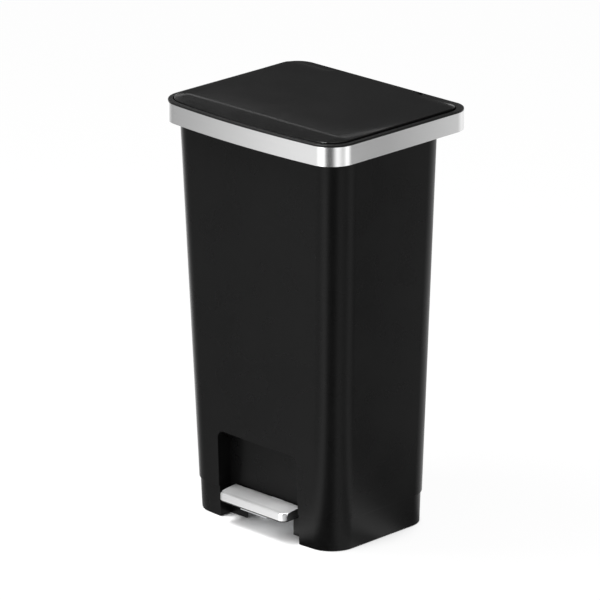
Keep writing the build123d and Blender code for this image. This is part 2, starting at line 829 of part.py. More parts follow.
# Pivot bracket under the floor, with the axle, its clips and the lever's spacer bushes
cheek_x = bracket_half - cheek_thickness / 2
with BuildPart() as pivot_bracket:
    with Locations((0, axle_y, bracket_top)):
        Box(2 * (bracket_half + bracket_flange), bracket_length, bracket_plate, align=top_down)
    for side in (-1, 1):
        with BuildSketch(Plane.YZ.offset(side * cheek_x)):
            with Locations((axle_y, axle_height)):
                Circle(hub_radius)
            with Locations((axle_y, axle_height)):
                Rectangle(
                    2 * hub_radius, bracket_top - axle_height, align=(Align.CENTER, Align.MIN),
                )
        extrude(amount=cheek_thickness / 2, both=True)
    with Locations((0, axle_y, axle_height)):
        Cylinder(
            axle_radius + axle_fit, 3 * bracket_half, rotation=(0, 90, 0), mode=Mode.SUBTRACT,
        )
    for place in bracket_screw_places:
        with Locations((*place, bracket_top)):
            Cylinder(
                screw_radius + screw_fit, bracket_plate, align=top_down, mode=Mode.SUBTRACT,
            )
pivot_bracket.part.label = "pivot_bracket"
export_step(pivot_bracket.part, "parts/pivot_bracket.step")

with BuildPart() as bracket_screws:
    for place in bracket_screw_places:
        with Locations((*place, bracket_top - bracket_plate)):
            Cylinder(screw_head, screw_head_height, align=top_down)
            Cylinder(screw_radius, screw_length - screw_head_height, align=bottom_up)
bracket_screws.part.label = "bracket_screws"
export_step(bracket_screws.part, "parts/bracket_screws.step")

axle_half = bracket_half + clip_play + 2 * clip_thickness
with BuildPart() as pedal_axle:
    with Locations((0, axle_y, axle_height)):
        Cylinder(axle_radius, 2 * axle_half, rotation=(0, 90, 0))
pedal_axle.part.label = "pedal_axle"
export_step(pedal_axle.part, "parts/pedal_axle.step")

with BuildPart() as axle_clips:
    for side in (-1, 1):
        with Locations((side * (bracket_half + clip_play + clip_thickness / 2), axle_y, axle_height)):
            Cylinder(clip_radius, clip_thickness, rotation=(0, 90, 0))
            Cylinder(
                axle_radius + axle_fit, 2 * clip_thickness, rotation=(0, 90, 0), mode=Mode.SUBTRACT,
            )
axle_clips.part.label = "axle_clips"
export_step(axle_clips.part, "parts/axle_clips.step")

with BuildPart() as lever_bushes:
    for side in (-1, 1):
        with Locations((side * (lever_width + bush_length) / 2, axle_y, axle_height)):
            Cylinder(bush_radius, bush_length, rotation=(0, 90, 0))
            Cylinder(
                axle_radius + axle_fit, 2 * bush_length, rotation=(0, 90, 0), mode=Mode.SUBTRACT,
            )
lever_bushes.part.label = "lever_bushes"
export_step(lever_bushes.part, "parts/lever_bushes.step")

# Pedal lever: an open frame of two rails from the pedal to the rod's foot
pedal_front = body_front(pedal_bottom) - pedal_reach
pedal_back = pedal_front + pedal_length
pad_front = pedal_front + tread_skin + lever_pad_margin
tip_width = channel_width - 2 * tip_play
neck_y = channel_front_y - tip_play
with BuildPart() as pedal_lever:
    with BuildSketch(Plane.YZ):
        with Locations((axle_y, axle_height)):
            Circle(hub_radius)
        with Locations((tip_y, tip_z)):
            Circle(lever_tip)
        make_hull()
    extrude(amount=lever_width / 2, both=True)
    with BuildSketch(Plane.YZ):
        with Locations((axle_y, axle_height)):
            Circle(hub_radius)
        with Locations((pad_front, pedal_bottom)):
            Rectangle(
                pedal_back - pad_front, lever_front_thickness, align=(Align.MIN, Align.MAX),
            )
        make_hull()
    extrude(amount=lever_width / 2, both=True)
    for side in (-1, 1):
        with Locations((side * (tip_width + lever_width) / 2, neck_y, axle_height)):
            Box(
                lever_width, lever_arm, 2 * floor_height,
                align=(Align.CENTER, Align.MIN, Align.CENTER),
                mode=Mode.SUBTRACT,
            )
    window_width = lever_width - 2 * lever_rail
    for window_start, window_end in (
        (pedal_back + lever_web, axle_y - hub_radius - lever_web / 2),
        (axle_y + hub_radius + lever_web / 2, neck_y - lever_web),
    ):
        with Locations((0, (window_start + window_end) / 2, axle_height)):
            Box(
                window_width, window_end - window_start, 2 * floor_height, mode=Mode.SUBTRACT,
            )
    with Locations((0, axle_y, axle_height)):
        Cylinder(
            axle_radius + axle_fit, 2 * lever_width, rotation=(0, 90, 0), mode=Mode.SUBTRACT,
        )
    pedal_screw_y = (pad_front + pedal_back) / 2
    pedal_screw_places = [(side * pedal_screw_spread / 2, pedal_screw_y) for side in (-1, 1)]
    for place in pedal_screw_places:
        with Locations((*place, pedal_bottom)):
            Cylinder(
                screw_radius + screw_fit, 2 * lever_front_thickness,
                align=top_down, mode=Mode.SUBTRACT,
            )
        with Locations((*place, pedal_bottom - lever_front_thickness)):
            Cylinder(screw_head + screw_fit, axle_height, align=top_down, mode=Mode.SUBTRACT)
    with Locations((0, pedal_back + tread_fit, pedal_bottom)):
        Box(pedal_width, pedal_length, axle_height, align=back_bottom, mode=Mode.SUBTRACT)
pedal_lever.part.label = "pedal_lever"
export_step(pedal_lever.part, "parts/pedal_lever.step")


def pedal_solid(inset, bottom):
    """The pedal's block with its sloping tread and rounded front corners, drawn in by an inset."""
    front_top = pedal_bottom + pedal_front_height
    crease_top = front_top + pedal_crease_rise
    with BuildPart() as block:
        with BuildSketch(Plane.YZ):
            with BuildLine():
                Polyline(
                    (pedal_front + inset, bottom),
                    (pedal_front + inset, front_top - inset),
                    (pedal_front + pedal_crease, crease_top - inset),
                    (pedal_back - inset, crease_top + pedal_back_rise - inset),
                    (pedal_back - inset, bottom),
                    close=True,
                )
            make_face()
        extrude(amount=pedal_width / 2 - inset, both=True)
        front_corners = block.edges().filter_by(Axis.Z).group_by(Axis.Y)[0]
        fillet(front_corners, radius=pedal_corner - inset)
    return block.part


with BuildPart() as pedal_tread:
    add(pedal_solid(0.0, pedal_bottom))
    add(pedal_solid(tread_skin, pedal_bottom), mode=Mode.SUBTRACT)
pedal_tread.part.label = "pedal_tread"
export_step(pedal_tread.part, "parts/pedal_tread.step")

with BuildPart() as pedal_core:
    add(pedal_solid(tread_skin + tread_fit, pedal_bottom))
    for place in pedal_screw_places:
        with Locations((*place, pedal_bottom)):
            Cylinder(
                screw_radius + screw_fit, screw_length, align=bottom_up, mode=Mode.SUBTRACT,
            )
pedal_core.part.label = "pedal_core"
export_step(pedal_core.part, "parts/pedal_core.step")

# The pedal's screws come up from under the lever's front plate
pedal_screw_low = pedal_bottom - lever_front_thickness
with BuildPart() as pedal_screws:
    for place in pedal_screw_places:
        with Locations((*place, pedal_screw_low)):
            Cylinder(screw_head, screw_head_height, align=top_down)
            Cylinder(
                screw_radius, lever_front_thickness + screw_length - screw_head_height,
                align=bottom_up,
            )
pedal_screws.part.label = "pedal_screws"
export_step(pedal_screws.part, "parts/pedal_screws.step")
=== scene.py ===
"""Pedal trash can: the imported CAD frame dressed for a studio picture."""
import logging
import math
from collections.abc import Callable, Iterator, Sequence
from contextlib import contextmanager
from dataclasses import dataclass, field, replace
from enum import Enum

import bmesh
import bpy
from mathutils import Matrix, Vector


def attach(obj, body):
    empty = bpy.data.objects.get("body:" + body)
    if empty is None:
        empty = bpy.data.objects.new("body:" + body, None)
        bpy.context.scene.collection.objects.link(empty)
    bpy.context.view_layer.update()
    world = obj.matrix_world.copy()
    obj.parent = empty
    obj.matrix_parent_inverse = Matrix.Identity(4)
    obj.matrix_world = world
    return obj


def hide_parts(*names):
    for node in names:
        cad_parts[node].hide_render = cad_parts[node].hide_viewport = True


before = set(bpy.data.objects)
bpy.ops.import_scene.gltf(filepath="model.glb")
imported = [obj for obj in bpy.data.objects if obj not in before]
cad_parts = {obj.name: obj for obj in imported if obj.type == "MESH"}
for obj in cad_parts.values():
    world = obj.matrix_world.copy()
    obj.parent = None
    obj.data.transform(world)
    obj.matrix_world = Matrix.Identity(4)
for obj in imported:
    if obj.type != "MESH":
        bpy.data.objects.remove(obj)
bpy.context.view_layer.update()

MM = 0.001
NEAR = 1e-5
Point = tuple[float, float, float]
Colour = tuple[float, float, float, float]
Shape = bpy.types.Object
Socket = bpy.types.NodeSocket
log = logging.getLogger("pedal_can")


class Part(Enum):
    """The kinds of mesh element that can be picked."""

    VERT = "verts"
    EDGE = "edges"
    FACE = "faces"


class Axis(Enum):
    """Which way a round piece points."""

    UP = (0.0, 0.0, 0.0)
    ALONG_X = (0.0, math.pi / 2, 0.0)


def clear_selection() -> None:
    """Leaves edit mode and selects nothing."""
    if bpy.context.object and bpy.context.object.mode != "OBJECT":
        bpy.ops.object.mode_set(mode="OBJECT")
    bpy.ops.object.select_all(action="DESELECT")


def focus(obj: Shape) -> None:
    """Makes an object the only selected and the active one."""
    clear_selection()
    obj.select_set(True)
    bpy.context.view_layer.objects.active = obj


@contextmanager
def editing(obj: Shape) -> Iterator[None]:
    """Edit mode on one object, with nothing picked in it."""
    focus(obj)
    bpy.ops.object.mode_set(mode="EDIT")
    bpy.ops.mesh.select_all(action="DESELECT")
    yield
    bpy.ops.object.mode_set(mode="OBJECT")


def middle(element: bmesh.types.BMEdge | bmesh.types.BMFace) -> Vector:
    """The middle of an edge or face."""
    return sum((v.co for v in element.verts), Vector()) / len(element.verts)


def settle(obj: Shape) -> Shape:
    """Puts an object's place and turn into its mesh and returns it."""
    focus(obj)
    bpy.ops.object.transform_apply(location=True, rotation=True, scale=True)
    return obj


def copy_of(source: Shape, name: str) -> Shape:
    """A copy of an object at the origin, with its own mesh."""
    twin = bpy.data.objects.new(name, source.data.copy())
    bpy.context.scene.collection.objects.link(twin)
    return twin


def split(axis: int, place: float) -> None:
    """Splits the whole edited mesh at a place on X (0) or Y (1)."""
    point, normal = [0.0] * 3, [0.0] * 3
    point[axis], normal[axis] = place, 1.0
    bpy.ops.mesh.select_all(action="SELECT")
    bpy.ops.mesh.bisect(plane_co=point, plane_no=normal)


def upright(edge: bmesh.types.BMEdge) -> bool:
    """Whether an edge climbs."""
    return abs(edge.verts[0].co.z - edge.verts[1].co.z) > NEAR


def rung(value: float) -> float:
    """A coordinate rounded so that each vertex falls into one group only."""
    return round(value, 4)


def level(edge: bmesh.types.BMEdge, height: float) -> bool:
    """Whether an edge lies at a height."""
    return all(abs(v.co.z - height) < NEAR for v in edge.verts)


def pick(obj: Shape, part: Part, test: Callable) -> int:
    """Selects the elements of the edited mesh that pass a test.

    Args:
        obj: The object in edit mode.
        part: Which kind of element is picked.
        test: Takes one element and says whether it is picked.

    Returns:
        How many were picked.
    """
    bpy.ops.mesh.select_mode(type=part.name)
    bpy.ops.mesh.select_all(action="DESELECT")
    mesh = bmesh.from_edit_mesh(obj.data)
    chosen = [e for e in getattr(mesh, part.value) if test(e)]
    for element in chosen:
        element.select_set(True)
    mesh.select_flush_mode()
    bmesh.update_edit_mesh(obj.data)
    return len(chosen)


def modify(obj: Shape, kind: str, **settings: object) -> None:
    """Adds a modifier to an object and applies it.

    Args:
        obj: The object to change.
        kind: Blender's name of the modifier type.
        settings: Values of the modifier's properties.
    """
    focus(obj)
    modifier = obj.modifiers.new(kind.lower(), kind)
    for key, value in settings.items():
        setattr(modifier, key, value)
    bpy.ops.object.modifier_apply(modifier=modifier.name)


def combine(obj: Shape, tool: Shape, operation: str) -> None:
    """Cuts or joins an object with a tool, which is used up.

    Args:
        obj: The object to change.
        tool: The other solid.
        operation: DIFFERENCE or UNION.
    """
    modify(obj, "BOOLEAN", object=tool, operation=operation, solver="EXACT")
    bpy.data.objects.remove(tool)


def cut(obj: Shape, *tools: Shape) -> Shape:
    """Takes tools away from an object and returns it."""
    for tool in tools:
        combine(obj, tool, "DIFFERENCE")
    return obj


def unite(obj: Shape, *tools: Shape) -> Shape:
    """Adds solids to an object and returns it."""
    for tool in tools:
        combine(obj, tool, "UNION")
    return obj


def join(objects: Sequence[Shape]) -> Shape:
    """Joins separate objects into one and returns it."""
    focus(objects[0])
    for obj in objects[1:]:
        obj.select_set(True)
    bpy.ops.object.join()
    return bpy.context.object


def box(low: Point, high: Point, lean: float = 0.0, pivot: Point = (0.0, 0.0, 0.0)) -> Shape:
    """A block between two corners, turned about X on a pivot.

    Args:
        low: Its lowest corner, before it is turned.
        high: Its highest corner.
        lean: The turn about X, in radians.
        pivot: The point that both corners are measured from and that it turns about.

    Returns:
        The new object, with its place in its mesh.
    """
    clear_selection()
    bpy.ops.mesh.primitive_cube_add(size=1.0)
    block = bpy.context.object
    size = Vector(high) - Vector(low)
    centre = (Vector(high) + Vector(low)) / 2
    with editing(block):
        bpy.ops.mesh.select_all(action="SELECT")
        bpy.ops.transform.resize(value=size)
        bpy.ops.transform.translate(value=centre)
    block.location = pivot
    block.rotation_euler = (lean, 0.0, 0.0)
    return settle(block)


def rod(
    radius: float, length: float, centre: Point, axis: Axis = Axis.UP, sides: int = 48
) -> Shape:
    """A round bar about its centre.

    Args:
        radius: Its radius.
        length: Its length.
        centre: Its middle point.
        axis: Which way it runs.
        sides: Faces round it.

    Returns:
        The new object, with its place in its mesh.
    """
    clear_selection()
    bpy.ops.mesh.primitive_cylinder_add(
        vertices=sides, radius=radius, depth=length, location=centre, rotation=axis.value
    )
    return settle(bpy.context.object)


def round_edges(obj: Shape, radius: float, segments: int, test: Callable) -> None:
    """Bevels the edges of an object that pass a test."""
    with editing(obj):
        if pick(obj, Part.EDGE, test):
            bpy.ops.mesh.bevel(
                offset=radius, offset_type="OFFSET", segments=segments, profile=0.5, affect="EDGES"
            )


def soften(obj: Shape, radius: float, segments: int = 2, angle: float = 35.0) -> None:
    """Rounds every sharp edge a little and evens out the shading.

    Args:
        obj: The finished shape.
        radius: Radius of the rounding, or 0 for a shape that has its roundings already.
        segments: Faces across the rounding.
        angle: Edges that turn by more than this many degrees are rounded.
    """
    with editing(obj):
        bpy.ops.mesh.select_all(action="SELECT")
        bpy.ops.mesh.remove_doubles(threshold=NEAR)
        bpy.ops.mesh.normals_make_consistent(inside=False)
    if radius:
        modify(
            obj, "BEVEL", width=radius, segments=segments, limit_method="ANGLE",
            angle_limit=math.radians(angle), use_clamp_overlap=True,
        )
    focus(obj)
    bpy.ops.object.shade_smooth_by_angle(angle=math.radians(angle))
    modify(obj, "WEIGHTED_NORMAL", keep_sharp=True, weight=80)


def brim(edge: bmesh.types.BMEdge) -> bool:
    """Whether an edge lies between an upright face and one that looks up."""
    slopes = sorted(f.normal.z for f in edge.link_faces)
    return len(slopes) == 2 and abs(slopes[0]) < 0.4 and slopes[1] > 0.7


@dataclass(frozen=True)
class Outline:
    """A level outline with rounded corners, whose front edge bows out."""

    height: float
    half: float
    front: float
    back: float
    bow: float
    front_corner: float
    back_corner: float

    def inset(self, amount: float, height: float | None = None) -> "Outline":
        """The outline drawn in by an amount, and moved to a height if one is given."""
        return replace(
            self,
            height=self.height if height is None else height,
            half=self.half - amount,
            front=self.front + amount,
            back=self.back - amount,
            front_corner=self.front_corner - amount,
            back_corner=self.back_corner - amount,
        )

    def bulge(self, x: float) -> float:
        """How far the front stands out from its shoulders at a place across."""
        radius = (self.half**2 + self.bow**2) / (2 * self.bow)
        return max(0.0, self.bow - radius + math.sqrt(max(0.0, radius**2 - x**2)))


@dataclass
class BowedBlock:
    """A solid between two bowed outlines."""

    low: Outline
    high: Outline
    strips: int
    corner_segments: int

    def build(self) -> Shape:
        """Shapes a cube into the block and returns it."""
        clear_selection()
        bpy.ops.mesh.primitive_cube_add(size=1.0)
        block = bpy.context.object
        with editing(block):
            for outline, side in ((self.low, -1), (self.high, 1)):
                shoulder = outline.front + outline.bow
                pick(block, Part.VERT, lambda v: v.co.z == side / 2)
                bpy.ops.transform.resize(value=(2 * outline.half, outline.back - shoulder, 1.0))
                bpy.ops.transform.translate(
                    value=(0.0, (outline.back + shoulder) / 2, outline.height - side / 2)
                )
        self._round(block, -1, self.low.front_corner)
        self._round(block, 1, self.low.back_corner)
        self._bow(block)
        return block

    def _round(self, block: Shape, side: int, radius: float) -> None:
        """Rounds the two upright edges at the front (-1) or the back (1)."""
        centre = (self.low.back + self.low.front) / 2
        round_edges(
            block, radius, self.corner_segments,
            lambda e: upright(e)
            and (middle(e).y - centre) * side > 0
            and abs(middle(e).x) > self.low.half / 2
            and len(e.link_faces) == 2
            and e.calc_face_angle(0.0) > 1.0,
        )

    def _bow(self, block: Shape) -> None:
        """Splits the front into strips and pushes each column out to the bow."""
        with editing(block):
            front = min(v.co.y for v in bmesh.from_edit_mesh(block.data).verts)
            reach = abs(self.high.front - self.low.front) + NEAR
            pick(
                block, Part.EDGE,
                lambda e: not upright(e)
                and abs(e.verts[0].co.y - e.verts[1].co.y) < NEAR
                and middle(e).y < front + reach + NEAR
                and abs(middle(e).x) < NEAR,
            )
            bpy.ops.mesh.subdivide(number_cuts=self.strips - 1, ngon=True)
            for outline in (self.low, self.high):
                limit = outline.front + outline.bow + outline.front_corner - NEAR
                verts = [
                    v.co.copy() for v in bmesh.from_edit_mesh(block.data).verts
                    if abs(v.co.z - outline.height) < NEAR and v.co.y < limit
                ]
                for x in sorted({rung(abs(co.x)) for co in verts}):
                    pick(
                        block, Part.VERT,
                        lambda v: abs(v.co.z - outline.height) < NEAR
                        and v.co.y < limit and rung(abs(v.co.x)) == x,
                    )
                    bpy.ops.transform.translate(value=(0.0, -outline.bulge(x), 0.0))


def bowed(
    outline: Callable, low: float, high: float, inset: float = 0.0, strips: int = 24, corner: int = 14
) -> Shape:
    """A block between two levels of an outline.

    Args:
        outline: Gives the outline at a height, drawn in by an inset.
        low: The height of its foot.
        high: The height of its top.
        inset: How far both are drawn in.
        strips: Faces across its bowed front.
        corner: Faces round each corner.

    Returns:
        The new object.
    """
    return BowedBlock(outline(low, inset), outline(high, inset), strips, corner).build()


class Nodes:
    """A material's node tree, with short ways to add and link nodes."""

    def __init__(self, name: str, shader: str = "BsdfPrincipled") -> None:
        """Starts a material with one shader on its output."""
        self.material = bpy.data.materials.new(name)
        self.material.use_nodes = True
        self.tree = self.material.node_tree
        self.tree.nodes.clear()
        self.shader = self.add(shader)
        self.add("OutputMaterial", {"Surface": self.shader.outputs[0]})

    def add(self, kind: str, inputs: dict[str | int, object] | None = None,
            **settings: object) -> bpy.types.Node:
        """Adds a node.

        Args:
            kind: Blender's name of its type, without ShaderNode.
            inputs: What goes into its sockets: a value, or another node's output to link.
            settings: Values of its properties.

        Returns:
            The node.
        """
        node = self.tree.nodes.new(f"ShaderNode{kind}")
        for key, value in settings.items():
            setattr(node, key, value)
        for key, value in (inputs or {}).items():
            if isinstance(value, Socket):
                self.tree.links.new(value, node.inputs[key])
            else:
                node.inputs[key].default_value = value
        return node

    def constants(self, **values: object) -> None:
        """Sets values on the shader's own sockets, named with _ for a space."""
        for key, value in values.items():
            self.shader.inputs[key.replace("_", " ")].default_value = value

    def link(self, source: Socket, target: str | int) -> None:
        """Links an output to a socket of the shader."""
        self.tree.links.new(source, self.shader.inputs[target])

    def place(self, stretch: Point = (1.0, 1.0, 1.0)) -> Socket:
        """Object coordinates, scaled on each axis."""
        source = self.add("TexCoord").outputs["Object"]
        return self.add("Mapping", {"Vector": source, "Scale": stretch}).outputs["Vector"]

    def noise(self, place: Socket, scale: float, detail: float = 2.0) -> Socket:
        """Noise over a place, as a number from 0 to 1."""
        return self.add("TexNoise", {"Vector": place, "Scale": scale, "Detail": detail}).outputs["Fac"]

    def spread(self, source: Socket, span: tuple[float, float], to: tuple[float, float]) -> Socket:
        """Maps a span of a number to another, held at its ends."""
        ends = dict(zip(("From Min", "From Max", "To Min", "To Max"), (*span, *to)))
        return self.add("MapRange", {"Value": source, **ends}).outputs["Result"]

    def product(self, first: Socket, second: Socket) -> Socket:
        """Two numbers multiplied."""
        return self.add("Math", {0: first, 1: second}, operation="MULTIPLY").outputs["Value"]

    def shade(self, factor: Socket, low: Colour | Socket, high: Colour) -> Socket:
        """A colour between two, by a factor. The first may come from another node."""
        return self.add("Mix", {"Factor": factor, "A": low, "B": high}, data_type="RGBA").outputs["Result"]

    def bump(self, height: Socket, strength: float, distance: float, under: Socket | None = None) -> Socket:
        """A normal from a height, laid over another normal if one is given."""
        inputs = {"Strength": strength, "Distance": distance, "Height": height}
        if under is not None:
            inputs["Normal"] = under
        return self.add("Bump", inputs).outputs["Normal"]

    def height_above_floor(self) -> Socket:
        """How high a point of the piece is, in metres."""
        return self.add("SeparateXYZ", {"Vector": self.place()}).outputs["Z"]


def grey(value: float, tint: float = 0.0) -> Colour:
    """A grey, a little bluer or warmer by its tint."""
    return (value * (1 - tint), value, value * (1 + tint), 1.0)


@dataclass(frozen=True)
class MouldedPlastic:
    """Satin moulded plastic: fine spark texture, slow gloss drift, scuffs near the floor."""

    name: str
    shade: float
    roughness: float
    specular: float = 0.5
    grain: float = 1400.0
    grain_depth: float = 0.02 * MM
    scuff_height: float = 0.0

    def build(self) -> bpy.types.Material:
        """Makes the material."""
        nodes = Nodes(self.name)
        nodes.constants(Specular_IOR_Level=self.specular, Metallic=0.0)
        drift = nodes.noise(nodes.place(), 14.0, 3.0)
        speck = nodes.noise(nodes.place(), self.grain, 2.0)
        ripple = nodes.noise(nodes.place((1.0, 1.0, 0.25)), 22.0, 1.0)
        gloss = nodes.spread(drift, (0.3, 0.7), (self.roughness - 0.03, self.roughness + 0.03))
        tone = nodes.shade(
            nodes.spread(drift, (0.35, 0.65), (0.0, 1.0)), grey(0.94 * self.shade), grey(1.06 * self.shade)
        )
        if self.scuff_height:
            low = nodes.spread(nodes.height_above_floor(), (0.0, self.scuff_height), (1.0, 0.0))
            marks = nodes.noise(nodes.place((1.0, 1.0, 5.0)), 160.0, 4.0)
            scuff = nodes.product(low, nodes.spread(marks, (0.6, 0.75), (0.0, 0.35)))
            tone = nodes.shade(scuff, tone, grey(3.0 * self.shade + 0.01))
        nodes.link(tone, "Base Color")
        nodes.link(gloss, "Roughness")
        wave = nodes.bump(ripple, 0.05, 0.2 * MM)
        nodes.link(nodes.bump(speck, 0.35, self.grain_depth, wave), "Normal")
        return nodes.material


@dataclass(frozen=True)
class BrushedSteel:
    """Brushed stainless steel: fine lines one way, cloudy gloss, a stretched highlight."""

    name: str
    shade: float
    roughness: float
    lines: Point
    anisotropy: float = 0.4
    tangent: str = "Z"
    contrast: float = 1.0

    def build(self) -> bpy.types.Material:
        """Makes the material."""
        nodes = Nodes(self.name)
        nodes.constants(Metallic=1.0, Anisotropic=self.anisotropy)
        strokes = nodes.noise(nodes.place(self.lines), 1.0, 4.0)
        cloud = nodes.noise(nodes.place(), 18.0, 3.0)
        nodes.link(
            nodes.shade(
                nodes.spread(strokes, (0.25, 0.75), (0.0, 1.0)),
                grey((1 - 0.07 * self.contrast) * self.shade, 0.006),
                grey((1 + 0.05 * self.contrast) * self.shade, -0.004),
            ),
            "Base Color",
        )
        swing = 0.05 * self.contrast
        fine = nodes.spread(strokes, (0.25, 0.75), (self.roughness - swing, self.roughness + swing))
        drift = nodes.spread(cloud, (0.3, 0.7), (0.94, 1.06))
        nodes.link(nodes.product(fine, drift), "Roughness")
        nodes.link(nodes.bump(strokes, 0.12 * self.contrast, 0.01 * MM), "Normal")
        around = nodes.add("Tangent", direction_type="RADIAL", axis=self.tangent)
        nodes.link(around.outputs["Tangent"], "Tangent")
        return nodes.material


@dataclass(frozen=True)
class ZincSteel:
    """Bright zinc-plated steel with a faint spangle and dull patches."""

    name: str
    shade: float = 0.55
    roughness: float = 0.34

    def build(self) -> bpy.types.Material:
        """Makes the material."""
        nodes = Nodes(self.name)
        nodes.constants(Metallic=1.0)
        cells = nodes.add("TexVoronoi", {"Vector": nodes.place(), "Scale": 420.0})
        cloud = nodes.noise(nodes.place(), 60.0, 4.0)
        spangle = nodes.spread(cells.outputs["Distance"], (0.0, 0.8), (0.0, 1.0))
        nodes.link(nodes.shade(spangle, grey(0.92 * self.shade, 0.03), grey(self.shade, 0.01)), "Base Color")
        nodes.link(
            nodes.spread(cloud, (0.3, 0.7), (self.roughness - 0.06, self.roughness + 0.08)), "Roughness"
        )
        nodes.link(nodes.bump(cloud, 0.1, 0.05 * MM), "Normal")
        return nodes.material


@dataclass(frozen=True)
class SoftFinish:
    """Dull rubber or milky nylon: a mottled tone and a fine pitted face."""

    name: str
    colour: Colour
    roughness: float
    pits: float = 900.0
    through: float = 0.0

    def build(self) -> bpy.types.Material:
        """Makes the material."""
        nodes = Nodes(self.name)
        nodes.constants(Metallic=0.0, Subsurface_Weight=self.through, Subsurface_Scale=2.0 * MM)
        mottle = nodes.noise(nodes.place(), 90.0, 4.0)
        pits = nodes.noise(nodes.place(), self.pits, 2.0)
        dark = tuple(0.85 * c for c in self.colour[:3]) + (1.0,)
        nodes.link(nodes.shade(nodes.spread(mottle, (0.3, 0.7), (0.0, 1.0)), dark, self.colour), "Base Color")
        nodes.link(
            nodes.spread(mottle, (0.3, 0.7), (self.roughness - 0.06, self.roughness + 0.06)), "Roughness"
        )
        nodes.link(nodes.bump(pits, 0.3, 0.04 * MM), "Normal")
        return nodes.material


FINISHES = {
    "body_plastic": MouldedPlastic("satin_black_body", 0.003, 0.28, 0.1, scuff_height=60 * MM),
    "rim_plastic": MouldedPlastic("satin_black_rim", 0.004, 0.34, 0.2),
    "lid_plastic": MouldedPlastic("fine_texture_lid", 0.004, 0.15, 0.2, grain=1800.0, grain_depth=0.004 * MM),
    "inner_plastic": MouldedPlastic("dull_black_inner", 0.016, 0.55, 0.35),
    "band_steel": BrushedSteel("brushed_band", 0.70, 0.22, (4.0, 4.0, 3200.0), contrast=0.5),
    "pedal_steel": BrushedSteel("satin_pedal", 0.80, 0.45, (6.0, 2600.0, 2600.0), 0.85, "X"),
    "zinc_steel": ZincSteel("zinc_plate"),
    "nylon": SoftFinish("milky_nylon", (0.62, 0.60, 0.54, 1.0), 0.42, through=0.1),
    "rubber": SoftFinish("black_rubber", (0.02, 0.02, 0.02, 1.0), 0.75),
}


class FinishShop:
    """Makes each finish once and puts it on pieces and CAD nodes."""

    def __init__(self) -> None:
        """Builds every material."""
        self.materials = {slot: finish.build() for slot, finish in FINISHES.items()}

    def dress(self, obj: Shape, slot: str) -> None:
        """Gives an object one finish all over."""
        obj.data.materials.clear()
        obj.data.materials.append(self.materials[slot])

    def dress_node(self, node: str, slot: str) -> None:
        """Puts a finish in every material slot of a CAD node."""
        for index in range(len(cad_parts[node].material_slots)):
            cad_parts[node].material_slots[index].material = self.materials[slot]

    def hand_over(self, obj: Shape, name: str, body: str, slot: str,
                  *nodes: str) -> Shape:
        """Names, dresses and mounts a finished piece.

        Args:
            obj: The piece, with its place in its mesh.
            name: Its name.
            body: The CAD body that it rides on.
            slot: The record's material slot that it takes its finish from.
            nodes: The CAD nodes that it stands for.

        Returns:
            The piece.
        """
        obj.name = name
        obj.data.name = name
        self.dress(obj, slot)
        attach(obj, body)
        if nodes:
            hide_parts(*nodes)
        log.info("built %s on %s: %d faces", name, body, len(obj.data.polygons))
        return obj


@dataclass
class Can:
    """Sizes that the sub-assemblies share."""

    rim_half: float = 184.0 * MM
    rim_front: float = -153.0 * MM
    rim_back: float = 153.0 * MM
    rim_top: float = 650.0 * MM
    rim_bow: float = 11.0 * MM
    rim_front_corner: float = 38.0 * MM
    rim_back_corner: float = 33.0 * MM
    band_low: float = 617.5 * MM
    band_high: float = 647.0 * MM
    ledge_top: float = 638.5 * MM
    body_top: float = 636.0 * MM
    foot_half: float = 153.5 * MM
    foot_front: float = -117.5 * MM
    foot_back: float = 102.5 * MM
    top_half: float = 176.0 * MM
    top_front: float = -136.0 * MM
    top_back: float = 108.0 * MM
    foot_bow: float = 7.0 * MM
    top_bow: float = 9.5 * MM
    body_corner: float = 41.0 * MM
    base_height: float = 50.0 * MM
    recess_half: float = 84.0 * MM
    recess_top: float = 142.0 * MM
    recess_back: float = -91.63 * MM
    recess_corner: float = 13.0 * MM
    hinge_y: float = 143.3 * MM
    hinge_z: float = 646.0 * MM
    tail_half: float = 84.0 * MM

    @property
    def lean(self) -> float:
        """How far the back wall leans out, in radians."""
        return math.atan2(self.top_back - self.foot_back, self.band_low)

    def rim(self, height: float, inset: float = 0.0) -> Outline:
        """The rim's outline."""
        outline = Outline(
            height, self.rim_half, self.rim_front, self.rim_back, self.rim_bow,
            self.rim_front_corner, self.rim_back_corner,
        )
        return outline.inset(inset)

    def body(self, height: float, inset: float = 0.0) -> Outline:
        """The body's outline at a level of its taper."""
        share = height / self.band_low
        outline = Outline(
            height,
            self.foot_half + (self.top_half - self.foot_half) * share,
            self.foot_front + (self.top_front - self.foot_front) * share,
            self.foot_back + (self.top_back - self.foot_back) * share,
            self.foot_bow + (self.top_bow - self.foot_bow) * share,
            self.body_corner,
            self.body_corner,
        )
        return outline.inset(inset)

    def behind(self, low: Point, high: Point) -> Shape:
        """A block measured along the leaning back wall: X across, Y out of it, Z up it."""
        return box(low, high, -self.lean, (0.0, self.foot_back, 0.0))

    def toe_recess(self, wall: float = 0.0) -> Shape:
        """The toe recess as a solid, with a wall round it."""
        solid = box(
            (-self.recess_half - wall, -2 * self.rim_back, -self.base_height),
            (self.recess_half + wall, self.recess_back + wall, self.recess_top + wall),
        )
        round_edges(
            solid, self.recess_corner + wall, 8,
            lambda e: level(e, self.recess_top + wall) and abs(middle(e).x) > self.recess_half - NEAR,
        )
        return solid


